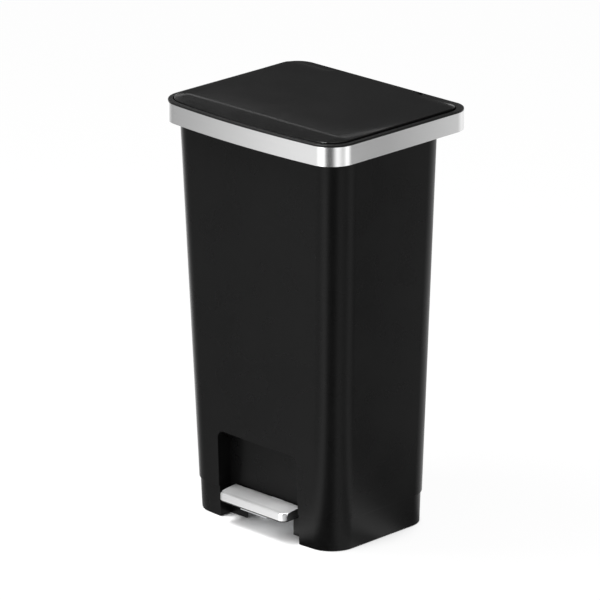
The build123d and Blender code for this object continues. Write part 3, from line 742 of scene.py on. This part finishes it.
@dataclass
class Bin:
    """The tapering body, its base skirt and rubber feet."""

    can: Can
    shop: FinishShop
    wall: float = 3.0 * MM
    floor_low: float = 75.0 * MM
    floor_high: float = 78.0 * MM
    channel_half: float = 22.0 * MM
    channel_depth: float = 21.0 * MM
    land: float = 10.0 * MM
    cover_half: float = 29.2 * MM
    rebate: float = 2.7 * MM
    notch_high: float = 59.0 * MM
    skirt_step: float = 1.9 * MM
    skirt_low: float = 1.0 * MM
    lever_half: float = 50.0 * MM
    foot_radius: float = 8.0 * MM
    foot_height: float = 5.0 * MM
    foot_play: float = 0.1 * MM
    column_radius: float = 11.1 * MM
    foot_x: float = 131.3 * MM
    foot_front_y: float = -91.8 * MM
    foot_back_y: float = 80.3 * MM
    edge: float = 0.7 * MM

    def build(self) -> None:
        """Builds the pieces from the floor up."""
        self.build_feet()
        self.build_skirt()
        self.build_body()

    def foot_places(self) -> dict[str, tuple[float, float]]:
        """Where each rubber foot stands."""
        return {
            "front_left": (-self.foot_x, self.foot_front_y),
            "front_right": (self.foot_x, self.foot_front_y),
            "back_left": (-self.foot_x, self.foot_back_y),
            "back_right": (self.foot_x, self.foot_back_y),
        }

    def build_body(self) -> None:
        """The tapered shell with its floor, toe recess and rod channel."""
        can = self.can
        tall = 2 * can.rim_top
        outer = bowed(can.body, can.base_height, can.body_top, 0.0, 32, 18)
        for low, high in ((self.floor_high, can.rim_top), (can.base_height / 2, self.floor_low)):
            hollow = bowed(can.body, low, high, self.wall)
            reach = self.channel_half + self.land
            cut(
                hollow, can.toe_recess(self.wall),
                can.behind((-reach, -self.channel_depth - self.wall, -tall), (reach, self.wall, tall)),
            )
            cut(outer, hollow)
        cut(
            outer, can.toe_recess(),
            can.behind(
                (-self.channel_half, -self.channel_depth, -tall), (self.channel_half, self.wall, tall)
            ),
            can.behind((-self.cover_half, -self.rebate, -tall), (self.cover_half, self.wall, tall)),
            can.behind(
                (-self.channel_half, -self.channel_depth - 2 * self.wall, -tall),
                (self.channel_half, self.wall, self.notch_high),
            ),
        )
        soften(outer, self.edge)
        self.shop.hand_over(outer, "body_moulding", "can", "body_plastic", "body_shell")

    def build_skirt(self) -> None:
        """The base under the seam, with a column over each foot."""
        can = self.can
        low, high = self.skirt_low, can.base_height
        skirt = bowed(can.body, low, high, self.skirt_step, 32, 18)
        thick = self.skirt_step + self.wall
        hollow = bowed(can.body, low - self.wall, high + self.wall, thick)
        cut(hollow, can.toe_recess(self.wall))
        for place in self.foot_places().values():
            cut(hollow, rod(self.column_radius, 2 * high, (*place, high / 2)))
        cut(skirt, hollow, can.toe_recess())
        reach = 2 * self.wall
        cut(skirt, box(
            (-self.lever_half, can.recess_back - reach, -high),
            (self.lever_half, can.recess_back + reach, 2 * high),
        ))
        for place in self.foot_places().values():
            cut(skirt, rod(self.foot_radius + self.foot_play, 2 * self.foot_height, (*place, 0.0)))
        soften(skirt, self.edge)
        self.shop.hand_over(skirt, "base_moulding", "can", "body_plastic", "base_skirt")

    def build_feet(self) -> None:
        """Rubber feet with a rounded rim and a sunk middle."""
        for name, place in self.foot_places().items():
            foot = rod(self.foot_radius, self.foot_height, (*place, self.foot_height / 2))
            with editing(foot):
                pick(foot, Part.FACE, lambda f: f.normal.z < -0.9)
                bpy.ops.mesh.inset(thickness=self.foot_radius / 2)
                bpy.ops.mesh.inset(thickness=self.foot_radius / 12)
                bpy.ops.transform.translate(value=(0.0, 0.0, self.foot_height / 5))
            soften(foot, self.foot_height / 8, 3)
            self.shop.hand_over(foot, f"rubber_foot_{name}", "can", "rubber", f"foot_{name}")


@dataclass
class Rim:
    """The plastic frame at the top, its steel band and the bag ring in its mouth."""

    can: Can
    shop: FinishShop
    band_thickness: float = 0.8 * MM
    band_inset: float = 0.9 * MM
    band_edge: float = 0.25 * MM
    throat_room: float = 0.4 * MM
    wall: float = 2.5 * MM
    lip_round: float = 1.2 * MM
    lip_flare: float = 0.5 * MM
    lid_strip: float = 9.0 * MM
    lid_gap: float = 2.0 * MM
    lid_back: float = 136.9 * MM
    lid_front_corner: float = 30.0 * MM
    lid_back_corner: float = 24.0 * MM
    mouth_side: float = 32.0 * MM
    mouth_front: float = 24.0 * MM
    mouth_back: float = 76.0 * MM
    mouth_corner: float = 14.0 * MM
    barrel_room: float = 7.6 * MM
    tail_room: float = 0.7 * MM
    notch_half: float = 18.0 * MM
    notch_back: float = 129.8 * MM
    notch_front: float = 88.0 * MM
    ring_lap: float = 4.0 * MM
    ring_fit: float = 0.5 * MM
    ring_wall: float = 2.5 * MM
    ring_edge: float = 0.7 * MM
    ring_top: float = 640.5 * MM
    ring_low: float = 612.5 * MM

    def build(self) -> None:
        """Builds the frame, the band and the ring."""
        self.build_frame()
        self.build_band()
        self.build_ring()

    def lid(self, height: float, inset: float = 0.0) -> Outline:
        """The lid's outline."""
        can = self.can
        outline = Outline(
            height, can.rim_half - self.lid_strip, can.rim_front + self.lid_strip, self.lid_back,
            can.rim_bow, self.lid_front_corner, self.lid_back_corner,
        )
        return outline.inset(inset)

    def mouth(self, height: float, inset: float = 0.0) -> Outline:
        """The outline of the bin's mouth."""
        can = self.can
        outline = Outline(
            height, can.rim_half - self.mouth_side, can.rim_front + self.mouth_front,
            can.rim_back - self.mouth_back, can.rim_bow, self.mouth_corner, self.mouth_corner,
        )
        return outline.inset(inset)

    def build_frame(self) -> None:
        """The frame with its lip, the lid's well, the ledge and the hinge's trough."""
        can = self.can
        shell = bowed(can.rim, can.band_low, can.band_high, self.band_inset, 32, 16)
        lip = bowed(can.rim, can.band_high, can.rim_top, 0.0, 32, 16)
        round_edges(lip, self.lip_round, 4, brim)
        for block, side in ((shell, 1), (lip, -1)):
            with editing(block):
                pick(
                    block, Part.FACE,
                    lambda f: f.normal.z * side > 0.9 and abs(middle(f).z - can.band_high) < NEAR,
                )
                bpy.ops.mesh.delete(type="ONLY_FACE")
        shell = join((shell, lip))
        with editing(shell):
            pick(shell, Part.EDGE, lambda e: level(e, can.band_high) and e.is_boundary)
            bpy.ops.mesh.bridge_edge_loops()
        sill = can.band_low + self.wall
        well = bowed(self.lid, can.ledge_top, 2 * can.rim_top, -self.lid_gap, 32, 14)
        flare = BowedBlock(
            self.lid(can.rim_top - self.lip_flare, -self.lid_gap),
            self.lid(can.rim_top + self.lip_flare, -self.lid_gap - 2 * self.lip_flare), 32, 14,
        ).build()
        thick = self.band_inset + self.wall
        under = bowed(can.rim, sill, can.body_top, thick, 32, 14)
        throat = bowed(can.body, can.band_low - self.wall, sill + self.wall, -self.throat_room, 32, 18)
        mouth = bowed(self.mouth, can.body_top - self.wall, can.ledge_top + self.wall)
        half = can.tail_half + self.tail_room
        trough = box(
            (-half, self.lid_back - self.lid_gap - self.wall, can.ledge_top),
            (half, can.hinge_y + self.barrel_room, 2 * can.rim_top),
        )
        notch = box(
            (-self.notch_half, self.notch_front, can.body_top - self.wall),
            (self.notch_half, self.notch_back, can.ledge_top + self.wall),
        )
        cut(shell, well, flare, under, throat, mouth, trough, notch)
        soften(shell, 0.0)
        self.shop.hand_over(shell, "rim_moulding", "can", "rim_plastic", "rim_frame")

    def build_band(self) -> None:
        """The brushed band round the frame, with softened edges."""
        can = self.can
        band = bowed(can.rim, can.band_low, can.band_high, 0.0, 32, 20)
        inner = bowed(
            can.rim, can.band_low - self.wall, can.band_high + self.wall, self.band_thickness, 32, 20
        )
        cut(band, inner)
        soften(band, self.band_edge)
        self.shop.hand_over(band, "brushed_band", "can", "band_steel", "steel_band")

    def build_ring(self) -> None:
        """The drop-in ring that holds the bag: a lip on the ledge and a skirt in the mouth."""
        can = self.can
        ring = bowed(self.mouth, can.ledge_top, self.ring_top, -self.ring_lap)
        unite(ring, bowed(self.mouth, self.ring_low, can.ledge_top + self.ring_fit, self.ring_fit))
        inside = self.ring_fit + self.ring_wall
        cut(ring, bowed(self.mouth, self.ring_low - inside, self.ring_top + inside, inside))
        soften(ring, self.ring_edge)
        self.shop.hand_over(ring, "bag_ring_moulding", "can", "inner_plastic", "bag_ring")


@dataclass
class Lid:
    """The lid panel with its sloping front, soft side creases and hinge tail."""

    can: Can
    rim: Rim
    shop: FinishShop
    low: float = 641.0 * MM
    high: float = 654.0 * MM
    skin: float = 3.0 * MM
    wall: float = 2.5 * MM
    slope_length: float = 52.0 * MM
    slope_drop: float = 3.8 * MM
    roll_length: float = 43.0 * MM
    crease_width: float = 9.0 * MM
    side_width: float = 22.0 * MM
    side_drop: float = 1.6 * MM
    side_end: float = 95.0 * MM
    back_length: float = 20.0 * MM
    back_drop: float = 2.6 * MM
    bands: int = 9
    edge: float = 1.2 * MM
    barrel: float = 7.0 * MM
    pin_hole: float = 2.55 * MM

    def build(self) -> None:
        """Builds the panel."""
        panel = bowed(self.rim.lid, self.low, self.high, 0.0, 32, 16)
        self.shape_top(panel)
        round_edges(panel, self.edge, 4, brim)
        hollow = bowed(self.rim.lid, self.low - self.wall, self.high - self.skin, self.wall)
        self.slope(hollow, self.high - self.skin)
        cut(panel, hollow)
        unite(panel, self.tail())
        cut(panel, rod(self.pin_hole, 3 * self.can.tail_half, self.hinge(), Axis.ALONG_X, 24))
        soften(panel, 0.0)
        self.shop.hand_over(panel, "lid_moulding", "lid", "lid_plastic", "lid_panel")

    def hinge(self) -> Point:
        """The middle of the hinge's axis."""
        return (0.0, self.can.hinge_y, self.can.hinge_z)

    def front(self) -> float:
        """The lid's front edge on its middle line."""
        return self.can.rim_front + self.rim.lid_strip

    def crease(self) -> float:
        """Where the sloping front starts."""
        return self.front() + self.slope_length

    def drop(self, x: float, y: float) -> float:
        """How far the rolled top stands below the lid's flat middle at a place."""
        ahead = max(0.0, self.front() + self.roll_length - y)
        bend = min(ahead, self.crease_width)
        fall = (bend**2 / 2 / self.crease_width + ahead - bend) / (self.roll_length - self.crease_width / 2)
        half = self.can.rim_half - self.rim.lid_strip
        side = max(0.0, (abs(x) - half + self.side_width) / self.side_width)
        fade = min(1.0, max(0.0, (self.side_end - y) / (self.side_end - self.crease())))
        back = max(0.0, (y - self.rim.lid_back + self.back_length) / self.back_length)
        beside = min(1.0, max(0.0, (abs(x) - self.can.tail_half) / self.back_length))
        return (
            self.slope_drop * fall
            + self.side_drop * fade * side**2 * max(0.0, 1.0 - fall)
            + self.back_drop * back**2 * beside
        )

    def shape_top(self, panel: Shape) -> None:
        """Cuts the top into bands and lowers them to a roll along the front and sides."""
        half = self.can.rim_half - self.rim.lid_strip
        steps = [i / self.bands for i in range(self.bands)]
        roll = self.front() + self.roll_length
        rows = [roll - self.crease_width * s for s in (*steps[::2], 1.0)]
        rows += [self.front() + (self.roll_length - self.crease_width) * s for s in (0.2, 0.4, 0.6, 0.8)]
        rows += [roll + (self.side_end - self.crease()) * s for s in (0.2, 0.5, 0.8)]
        rows += [self.rim.lid_back - self.back_length * (1 - s) for s in steps[::2]]
        sides = [half - self.side_width * (1 - s) for s in steps[::3]]
        sides += [self.can.tail_half + self.back_length * s for s in (0.0, 0.5, 1.0)]
        with editing(panel):
            for y in rows:
                split(1, y)
            for x in sides:
                split(0, -x)
                split(0, x)
            drops = {
                round(self.drop(v.co.x, v.co.y), 6) for v in bmesh.from_edit_mesh(panel.data).verts
                if abs(v.co.z - self.high) < NEAR
            }
            for drop in sorted(drops - {0.0}):
                pick(
                    panel, Part.VERT,
                    lambda v: abs(v.co.z - self.high) < NEAR and round(self.drop(v.co.x, v.co.y), 6) == drop,
                )
                bpy.ops.transform.translate(value=(0.0, 0.0, -drop))

    def slope(self, block: Shape, top: float) -> None:
        """Splits a block's top at the crease and lowers it in front of that."""
        crease = self.crease()
        with editing(block):
            split(1, crease)
            front = [
                v.co.y for v in bmesh.from_edit_mesh(block.data).verts
                if abs(v.co.z - top) < NEAR and v.co.y < crease - NEAR
            ]
            for y in sorted({rung(value) for value in front}):
                pick(block, Part.VERT, lambda v: v.co.z > self.low and rung(v.co.y) == y)
                drop = (crease - y) * self.slope_drop / self.slope_length
                bpy.ops.transform.translate(value=(0.0, 0.0, -drop))

    def tail(self) -> Shape:
        """The barrel behind the lid, with the web that joins it to the panel."""
        can = self.can
        barrel = rod(self.barrel, 2 * can.tail_half, self.hinge(), Axis.ALONG_X, 64)
        web = box(
            (-can.tail_half, self.rim.lid_back - self.wall, can.hinge_z),
            (can.tail_half, can.hinge_y - self.wall, self.high),
        )
        round_edges(web, self.edge / 2, 2, brim)
        return unite(barrel, web)


@dataclass
class Pedal:
    """The stainless tread over its core, at the front of the lever."""

    shop: FinishShop
    half: float = 70.0 * MM
    front: float = -133.56 * MM
    back: float = -94.76 * MM
    low: float = 37.6 * MM
    core_low: float = 35.3 * MM
    front_height: float = 12.3 * MM
    crease: float = 9.0 * MM
    crease_dip: float = 1.4 * MM
    back_rise: float = 1.6 * MM
    rows: int = 6
    corner: float = 10.0 * MM
    bead: float = 4.0 * MM
    skin: float = 1.0 * MM
    fit: float = 0.2 * MM
    edge: float = 0.5 * MM
    screw_x: float = 17.0 * MM
    screw_y: float = -110.66 * MM
    screw_hole: float = 1.7 * MM
    screw_deep: float = 14.0 * MM

    def build(self) -> None:
        """Builds the tread and its core."""
        tread = self.shaped(0.0, self.low)
        cut(tread, self.shaped(self.skin, self.low - self.skin))
        soften(tread, self.edge, 3, 40.0)
        tread.data.use_auto_texspace = False
        tread.data.texspace_location = (0.0, 1.0, -1.0)
        tread.data.texspace_size = (1.0, 1.0, 1.0)
        self.shop.hand_over(tread, "pedal_tread_pressing", "pedal", "pedal_steel", "pedal_tread")
        core = self.shaped(self.skin + self.fit, self.core_low)
        for x in (-self.screw_x, self.screw_x):
            cut(core, rod(self.screw_hole, 2 * self.screw_deep, (x, self.screw_y, self.core_low)))
        soften(core, self.edge)
        self.shop.hand_over(core, "pedal_core_block", "pedal", "inner_plastic", "pedal_core")

    def rise(self, y: float) -> float:
        """How far the tread stands above its front edge: a dip to the crease, then a swell."""
        along = y - self.front
        if along <= self.crease:
            return -self.crease_dip * along / self.crease
        left = (self.back - y) / (self.back - self.front - self.crease)
        return (self.back_rise + self.crease_dip) * (1 - left ** 2) - self.crease_dip

    def shaped(self, inset: float, bottom: float) -> Shape:
        """The pedal's block with its creased top and its bead, drawn in by an inset."""
        top = self.low + self.front_height - inset
        half = self.half - inset
        block = box((-half, self.front + inset, bottom), (half, self.back - inset, top))
        round_edges(
            block, self.corner - inset, 8,
            lambda e: upright(e) and middle(e).y < self.front + self.corner,
        )
        line = self.front + self.crease
        with editing(block):
            for row in range(self.rows):
                split(1, line + (self.back - line) * row / self.rows)
            verts = bmesh.from_edit_mesh(block.data).verts
            for y in sorted({rung(v.co.y) for v in verts if abs(v.co.z - top) < NEAR}):
                pick(block, Part.VERT, lambda v: abs(v.co.z - top) < NEAR and rung(v.co.y) == y)
                bpy.ops.transform.translate(value=(0.0, 0.0, self.rise(y)))
        round_edges(block, self.bead - inset, 5, lambda e: brim(e) and middle(e).y < line)
        return block


class Facing(Enum):
    """Which way a screw's head looks, as its turn about X in degrees."""

    UP = 0.0
    DOWN = 180.0
    BACK = -90.51


@dataclass(frozen=True)
class ScrewSet:
    """Screws of one length that stand for one CAD node."""

    node: str
    body: str
    facing: Facing
    length: float
    places: tuple[Point, ...]


@dataclass
class Screws:
    """Pan head screws with a cross recess, one modelled and the rest copied from it."""

    shop: FinishShop
    head: float = 3.0 * MM
    head_height: float = 1.8 * MM
    shank: float = 1.5 * MM
    dome: float = 1.0 * MM
    slot_length: float = 3.4 * MM
    slot_width: float = 0.8 * MM
    slot_depth: float = 1.0 * MM
    tip: float = 0.9 * MM
    edge: float = 0.1 * MM

    def build(self) -> None:
        """Builds every set."""
        for batch in self.sets():
            pattern = self.pattern(batch.length)
            copies = [self.placed(pattern, place, batch.facing) for place in batch.places]
            bpy.data.objects.remove(pattern)
            self.shop.hand_over(join(copies), f"{batch.node}_set", batch.body, "zinc_steel", batch.node)

    def sets(self) -> tuple[ScrewSet, ...]:
        """Where each set of screws sits, by the middle of the head's outer face."""
        both = (-1, 1)
        return (
            ScrewSet("lid_screws", "lid", Facing.DOWN, 9 * MM, tuple(
                (x * 120 * MM, y * 75 * MM, 641 * MM) for x in both for y in both)),
            ScrewSet("crank_screws", "lid", Facing.DOWN, 9 * MM, tuple(
                (x * 10 * MM, 122.81 * MM, 642.2 * MM) for x in both)),
            ScrewSet("rim_screws", "can", Facing.UP, 9 * MM, tuple(
                (x * 170.4 * MM, y * 60 * MM, 638.5 * MM) for x in both for y in both)),
            ScrewSet("bracket_screws", "can", Facing.DOWN, 9 * MM, tuple(
                (x * 45.5 * MM, y * MM, 64.2 * MM) for x in both for y in (-39.17, -5.83))),
            ScrewSet("pedal_screws", "pedal", Facing.DOWN, 14 * MM, tuple(
                (x * 17 * MM, -110.66 * MM, 28.5 * MM) for x in both)),
            ScrewSet("cover_screws", "can", Facing.BACK, 9 * MM, tuple(
                (x * 25.5 * MM, y * MM, z * MM) for x in both
                for y, z in ((103.26, 86.0), (105.45, 331.75), (107.64, 577.5)))),
        )

    def pattern(self, length: float) -> Shape:
        """One screw that looks up, with the middle of its head's face at the origin."""
        screw = rod(self.head, self.head_height, (0.0, 0.0, -self.head_height / 2), sides=32)
        round_edges(screw, self.dome, 4, brim)
        deep = self.slot_depth
        for x, y in ((self.slot_length, self.slot_width), (self.slot_width, self.slot_length)):
            cut(screw, box((-x / 2, -y / 2, -deep), (x / 2, y / 2, deep)))
        shank = rod(self.shank, length - deep, (0.0, 0.0, -(length + deep) / 2), sides=24)
        round_edges(shank, self.tip, 1, lambda e: level(e, -length))
        unite(screw, shank)
        soften(screw, self.edge, 2, 40.0)
        return screw

    def placed(self, pattern: Shape, place: Point, facing: Facing) -> Shape:
        """A copy of the screw with its own mesh, turned and moved to its place."""
        screw = copy_of(pattern, pattern.name)
        screw.rotation_euler = (math.radians(facing.value), 0.0, 0.0)
        screw.location = place
        return settle(screw)


@dataclass
class Fittings:
    """CAD nodes shown as merged copies with their edges rounded, by body, finish and radius."""

    shop: FinishShop
    flat: float = 0.6
    rounded: dict[str, tuple[str, str, float]] = field(default_factory=lambda: {
        "lid_liner": ("lid", "inner_plastic", 0.6 * MM),
        "lid_crank": ("lid", "nylon", 0.5 * MM),
        "lid_bumpers": ("can", "rubber", 0.5 * MM),
        "hinge_pins": ("can", "zinc_steel", 0.4 * MM),
        "push_rod": ("rod", "zinc_steel", 0.4 * MM),
        "rod_head": ("rod", "nylon", 0.5 * MM),
        "rod_foot": ("rod", "nylon", 0.5 * MM),
        "rod_guide_upper": ("can", "nylon", 0.4 * MM),
        "rod_guide_lower": ("can", "nylon", 0.4 * MM),
        "rod_channel_cover": ("can", "body_plastic", 0.5 * MM),
        "damper_barrel": ("can", "inner_plastic", 0.4 * MM),
        "damper_plunger": ("rod", "zinc_steel", 0.3 * MM),
        "pedal_lever": ("pedal", "zinc_steel", 0.5 * MM),
        "lever_bushes": ("pedal", "nylon", 0.3 * MM),
        "pedal_axle": ("can", "zinc_steel", 0.4 * MM),
        "axle_clips": ("can", "zinc_steel", 0.15 * MM),
        "pivot_bracket": ("can", "zinc_steel", 0.4 * MM),
    })
    plain: tuple[str, ...] = ("base_screws",)

    def build(self) -> None:
        """Copies, rounds and dresses the nodes, and dresses those that nothing shows."""
        for node, (body, slot, radius) in self.rounded.items():
            piece = copy_of(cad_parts[node], node)
            with editing(piece):
                bpy.ops.mesh.select_all(action="SELECT")
                bpy.ops.mesh.remove_doubles(threshold=NEAR)
                bpy.ops.mesh.dissolve_limited(angle_limit=math.radians(self.flat))
            soften(piece, radius)
            self.shop.hand_over(piece, f"{node}_rounded", body, slot, node)
        for node in self.plain:
            self.shop.dress_node(node, "zinc_steel")
            log.info("dressed %s", node)


@dataclass(frozen=True)
class Softbox:
    """A soft lamp that faces the can from a place round it."""

    name: str
    azimuth: float
    elevation: float
    distance: float
    size: tuple[float, float]
    power: float


@dataclass
class Studio:
    """Floor, background, lamps, reflection papers and the camera at the photograph's angle."""

    azimuth: float = 44.7
    elevation: float = 18.9
    distance: float = 8.2213
    target: Point = (0.0, 0.0, 0.3244)
    focal_share: float = 5459.0 / 600.0
    sensor: float = 36.0
    shift: tuple[float, float] = (-12.6 / 600.0, 10.1 / 600.0)
    floor_half: float = 30.0
    floor_tone: float = 0.85
    ambient: float = 0.55
    white_share: float = 0.95
    shadow_reach: float = 0.2
    shadow_span: tuple[float, float] = (0.2, 0.6)
    tent_radius: float = 0.62
    tent_height: float = 0.70
    cap_top: float = 1.9
    cap_tone: float = 0.3
    tent_floor: float = 0.0004
    panel_azimuth: float = 225.0
    panel_width: float = 0.95
    panel_tone: float = 0.07
    panel_reach: float = 0.92
    panel_middle: float = 1.05
    panel_height: float = 1.10
    strip_reach: float = 0.90
    strip_height: float = 0.925
    strip_width: float = 0.022
    strip_tilt: float = 20.0
    strip_tone: float = 1.5
    tent_tones: tuple[tuple[float, float], ...] = (
        (-90.0, 1.5), (-75.0, 0.8), (-64.0, 0.5), (-55.0, 0.48), (-46.0, 0.6), (-36.0, 0.78),
        (-26.0, 0.95), (-16.0, 1.06), (-6.0, 1.0), (3.0, 1.0), (11.0, 1.8), (23.0, 2.9), (29.0, 1.0),
        (35.0, 0.12), (50.0, 0.12), (55.0, 0.7), (60.0, 1.5), (68.0, 1.4), (76.0, 0.8), (83.0, 0.8),
        (91.0, 1.8), (99.0, 1.5), (108.0, 0.55), (116.0, 0.37), (124.0, 0.42), (132.0, 0.8),
        (150.0, 1.2), (190.0, 1.0), (215.0, 0.6), (240.0, 1.4), (270.0, 1.5),
    )
    lamps: tuple[Softbox, ...] = (
        Softbox("softbox_left", -8.0, 12.0, 1.6, (0.7, 1.6), 9.0),
        Softbox("softbox_right", 104.0, 12.0, 1.6, (0.7, 1.6), 6.0),
        Softbox("softbox_top", 20.0, 80.0, 1.9, (1.4, 1.4), 14.0),
        Softbox("softbox_front", -44.0, 66.0, 1.9, (0.7, 0.7), 70.0),
    )

    def build(self) -> None:
        """Sets the stage."""
        bpy.context.scene.view_settings.view_transform = "Standard"
        self.build_world()
        self.build_floor()
        self.build_lamps()
        self.build_tent()
        self.build_cap()
        self.build_panels()
        self.build_camera()

    def toward(self, azimuth: float, elevation: float) -> Vector:
        """The direction from the object to a place round it, in degrees."""
        a, e = math.radians(azimuth), math.radians(elevation)
        return Vector((math.sin(a) * math.cos(e), -math.cos(a) * math.cos(e), math.sin(e)))

    def build_camera(self) -> None:
        """The camera, at the photograph's angle and framing."""
        data = bpy.data.cameras.new("studio_camera")
        data.sensor_width = self.sensor
        data.lens = self.focal_share * self.sensor
        data.shift_x, data.shift_y = self.shift
        data.clip_end = 4 * self.floor_half
        camera = bpy.data.objects.new("studio_camera", data)
        bpy.context.scene.collection.objects.link(camera)
        back = self.toward(self.azimuth, self.elevation)
        camera.location = Vector(self.target) + back * self.distance
        camera.rotation_euler = (-back).to_track_quat("-Z", "Y").to_euler()
        bpy.context.scene.camera = camera

    def seen_directly(self, tree: bpy.types.NodeTree) -> Socket:
        """1 for rays from the camera, from gloss and through glass, and 0 for the rest."""
        path = tree.nodes.new("ShaderNodeLightPath")
        total = path.outputs["Is Camera Ray"]
        for name in ("Is Glossy Ray", "Is Transmission Ray"):
            add = tree.nodes.new("ShaderNodeMath")
            add.operation = "MAXIMUM"
            tree.links.new(total, add.inputs[0])
            tree.links.new(path.outputs[name], add.inputs[1])
            total = add.outputs["Value"]
        return total

    def build_world(self) -> None:
        """A white background that lights the object at a plain level."""
        world = bpy.data.worlds.new("studio_world")
        world.use_nodes = True
        tree = world.node_tree
        background = tree.nodes["Background"]
        level_of = tree.nodes.new("ShaderNodeMapRange")
        level_of.inputs["To Min"].default_value = self.ambient
        level_of.inputs["To Max"].default_value = 1.0
        tree.links.new(self.seen_directly(tree), level_of.inputs["Value"])
        tree.links.new(level_of.outputs["Result"], background.inputs["Strength"])
        background.inputs["Color"].default_value = (1.0, 1.0, 1.0, 1.0)
        bpy.context.scene.world = world

    def build_floor(self) -> None:
        """A pale floor that keeps a faint shadow."""
        clear_selection()
        bpy.ops.mesh.primitive_plane_add(size=2 * self.floor_half)
        floor = bpy.context.object
        floor.name = "studio_floor"
        nodes = Nodes("pale_floor", "MixShader")
        matt = nodes.add("BsdfDiffuse", {"Color": grey(self.floor_tone)})
        open_air = nodes.add("AmbientOcclusion", {"Distance": self.shadow_reach})
        share = nodes.spread(open_air.outputs["AO"], self.shadow_span, (0.0, self.white_share))
        nodes.link(nodes.product(share, self.seen_directly(nodes.tree)), "Fac")
        nodes.link(matt.outputs["BSDF"], 1)
        nodes.link(nodes.add("Emission").outputs["Emission"], 2)
        floor.data.materials.append(nodes.material)

    def build_lamps(self) -> None:
        """Two tall softboxes beside the camera, one overhead and one high in front."""
        for box_light in self.lamps:
            data = bpy.data.lights.new(box_light.name, "AREA")
            data.shape = "RECTANGLE"
            data.size, data.size_y = box_light.size
            data.energy = box_light.power
            lamp = bpy.data.objects.new(box_light.name, data)
            bpy.context.scene.collection.objects.link(lamp)
            back = self.toward(box_light.azimuth, box_light.elevation)
            lamp.location = Vector(self.target) + back * box_light.distance
            lamp.rotation_euler = back.to_track_quat("Z", "Y").to_euler()
            lamp.visible_camera = False

    def sleeve(self, low: float, high: float) -> Shape:
        """An upright ring of paper round the can, between two heights."""
        clear_selection()
        bpy.ops.mesh.primitive_cylinder_add(
            vertices=96, radius=self.tent_radius, depth=high - low, end_fill_type="NOTHING",
            location=(0.0, 0.0, (low + high) / 2),
        )
        return settle(bpy.context.object)

    def build_tent(self) -> None:
        """A curved paper tent that only gloss sees, bright and dark by turns, with its floor."""
        nodes = Nodes("tent_paper", "Emission")
        place = nodes.add("TexCoord").outputs["Object"]
        turn = nodes.add("TexGradient", {"Vector": place}, gradient_type="RADIAL")
        tone = nodes.add("ValToRGB", {"Fac": turn.outputs["Fac"]})
        stops = tone.color_ramp.elements
        for azimuth, value in self.tent_tones[1:-1]:
            stops.new((azimuth + 90.0) / 360.0).color = grey(value)
        stops[0].color = grey(self.tent_tones[0][1])
        stops[-1].color = grey(self.tent_tones[-1][1])
        nodes.link(tone.outputs["Color"], "Color")
        self.hang(self.sleeve(0.0, self.tent_height), "reflection_tent", nodes.material)
        clear_selection()
        bpy.ops.mesh.primitive_circle_add(
            vertices=96, radius=self.tent_radius, fill_type="NGON", location=(0.0, 0.0, self.tent_floor)
        )
        self.hang(settle(bpy.context.object), "reflection_ground", nodes.material)

    def build_cap(self) -> None:
        """A plain paper ring over the tent, for the lid from other sides."""
        cap = self.sleeve(self.tent_height, self.cap_top)
        self.hang(cap, "reflection_cap", self.paper("cap_paper", self.cap_tone))

    def build_panels(self) -> None:
        """A dark panel high behind the can and a bright strip on it, for the lid and its crease."""
        for name, reach, middle_height, height, tilt, tone in (
            ("dark_panel", self.panel_reach, self.panel_middle, self.panel_height, 0.0, self.panel_tone),
            ("bright_strip", self.strip_reach, self.strip_height, self.strip_width, self.strip_tilt,
             self.strip_tone),
        ):
            clear_selection()
            bpy.ops.mesh.primitive_plane_add(size=1.0)
            panel = bpy.context.object
            panel.scale = (self.panel_width, height, 1.0)
            panel.rotation_euler = (math.pi / 2, math.radians(tilt), math.radians(self.panel_azimuth))
            back = self.toward(self.panel_azimuth, 0.0) * (reach * self.tent_radius)
            panel.location = (back.x, back.y, middle_height)
            self.hang(settle(panel), name, self.paper(name, tone))

    def paper(self, name: str, tone: float) -> bpy.types.Material:
        """A plain glowing paper of one tone."""
        nodes = Nodes(name, "Emission")
        nodes.constants(Color=grey(tone))
        return nodes.material

    def hang(self, paper: Shape, name: str, material: bpy.types.Material) -> None:
        """Puts up a paper that nothing but gloss sees."""
        paper.name = name
        paper.data.materials.append(material)
        paper.visible_camera = False
        paper.visible_diffuse = False
        paper.visible_shadow = False
        paper.visible_transmission = False


def main() -> None:
    """Builds the can's sub-assemblies in order and sets the stage."""
    logging.basicConfig(level=logging.INFO, format="%(name)s: %(message)s")
    shop = FinishShop()
    can = Can()
    rim = Rim(can, shop)
    Studio().build()
    for assembly in (
        Bin(can, shop), rim, Lid(can, rim, shop), Pedal(shop), Screws(shop), Fittings(shop),
    ):
        assembly.build()


if __name__ == "__main__":
    main()
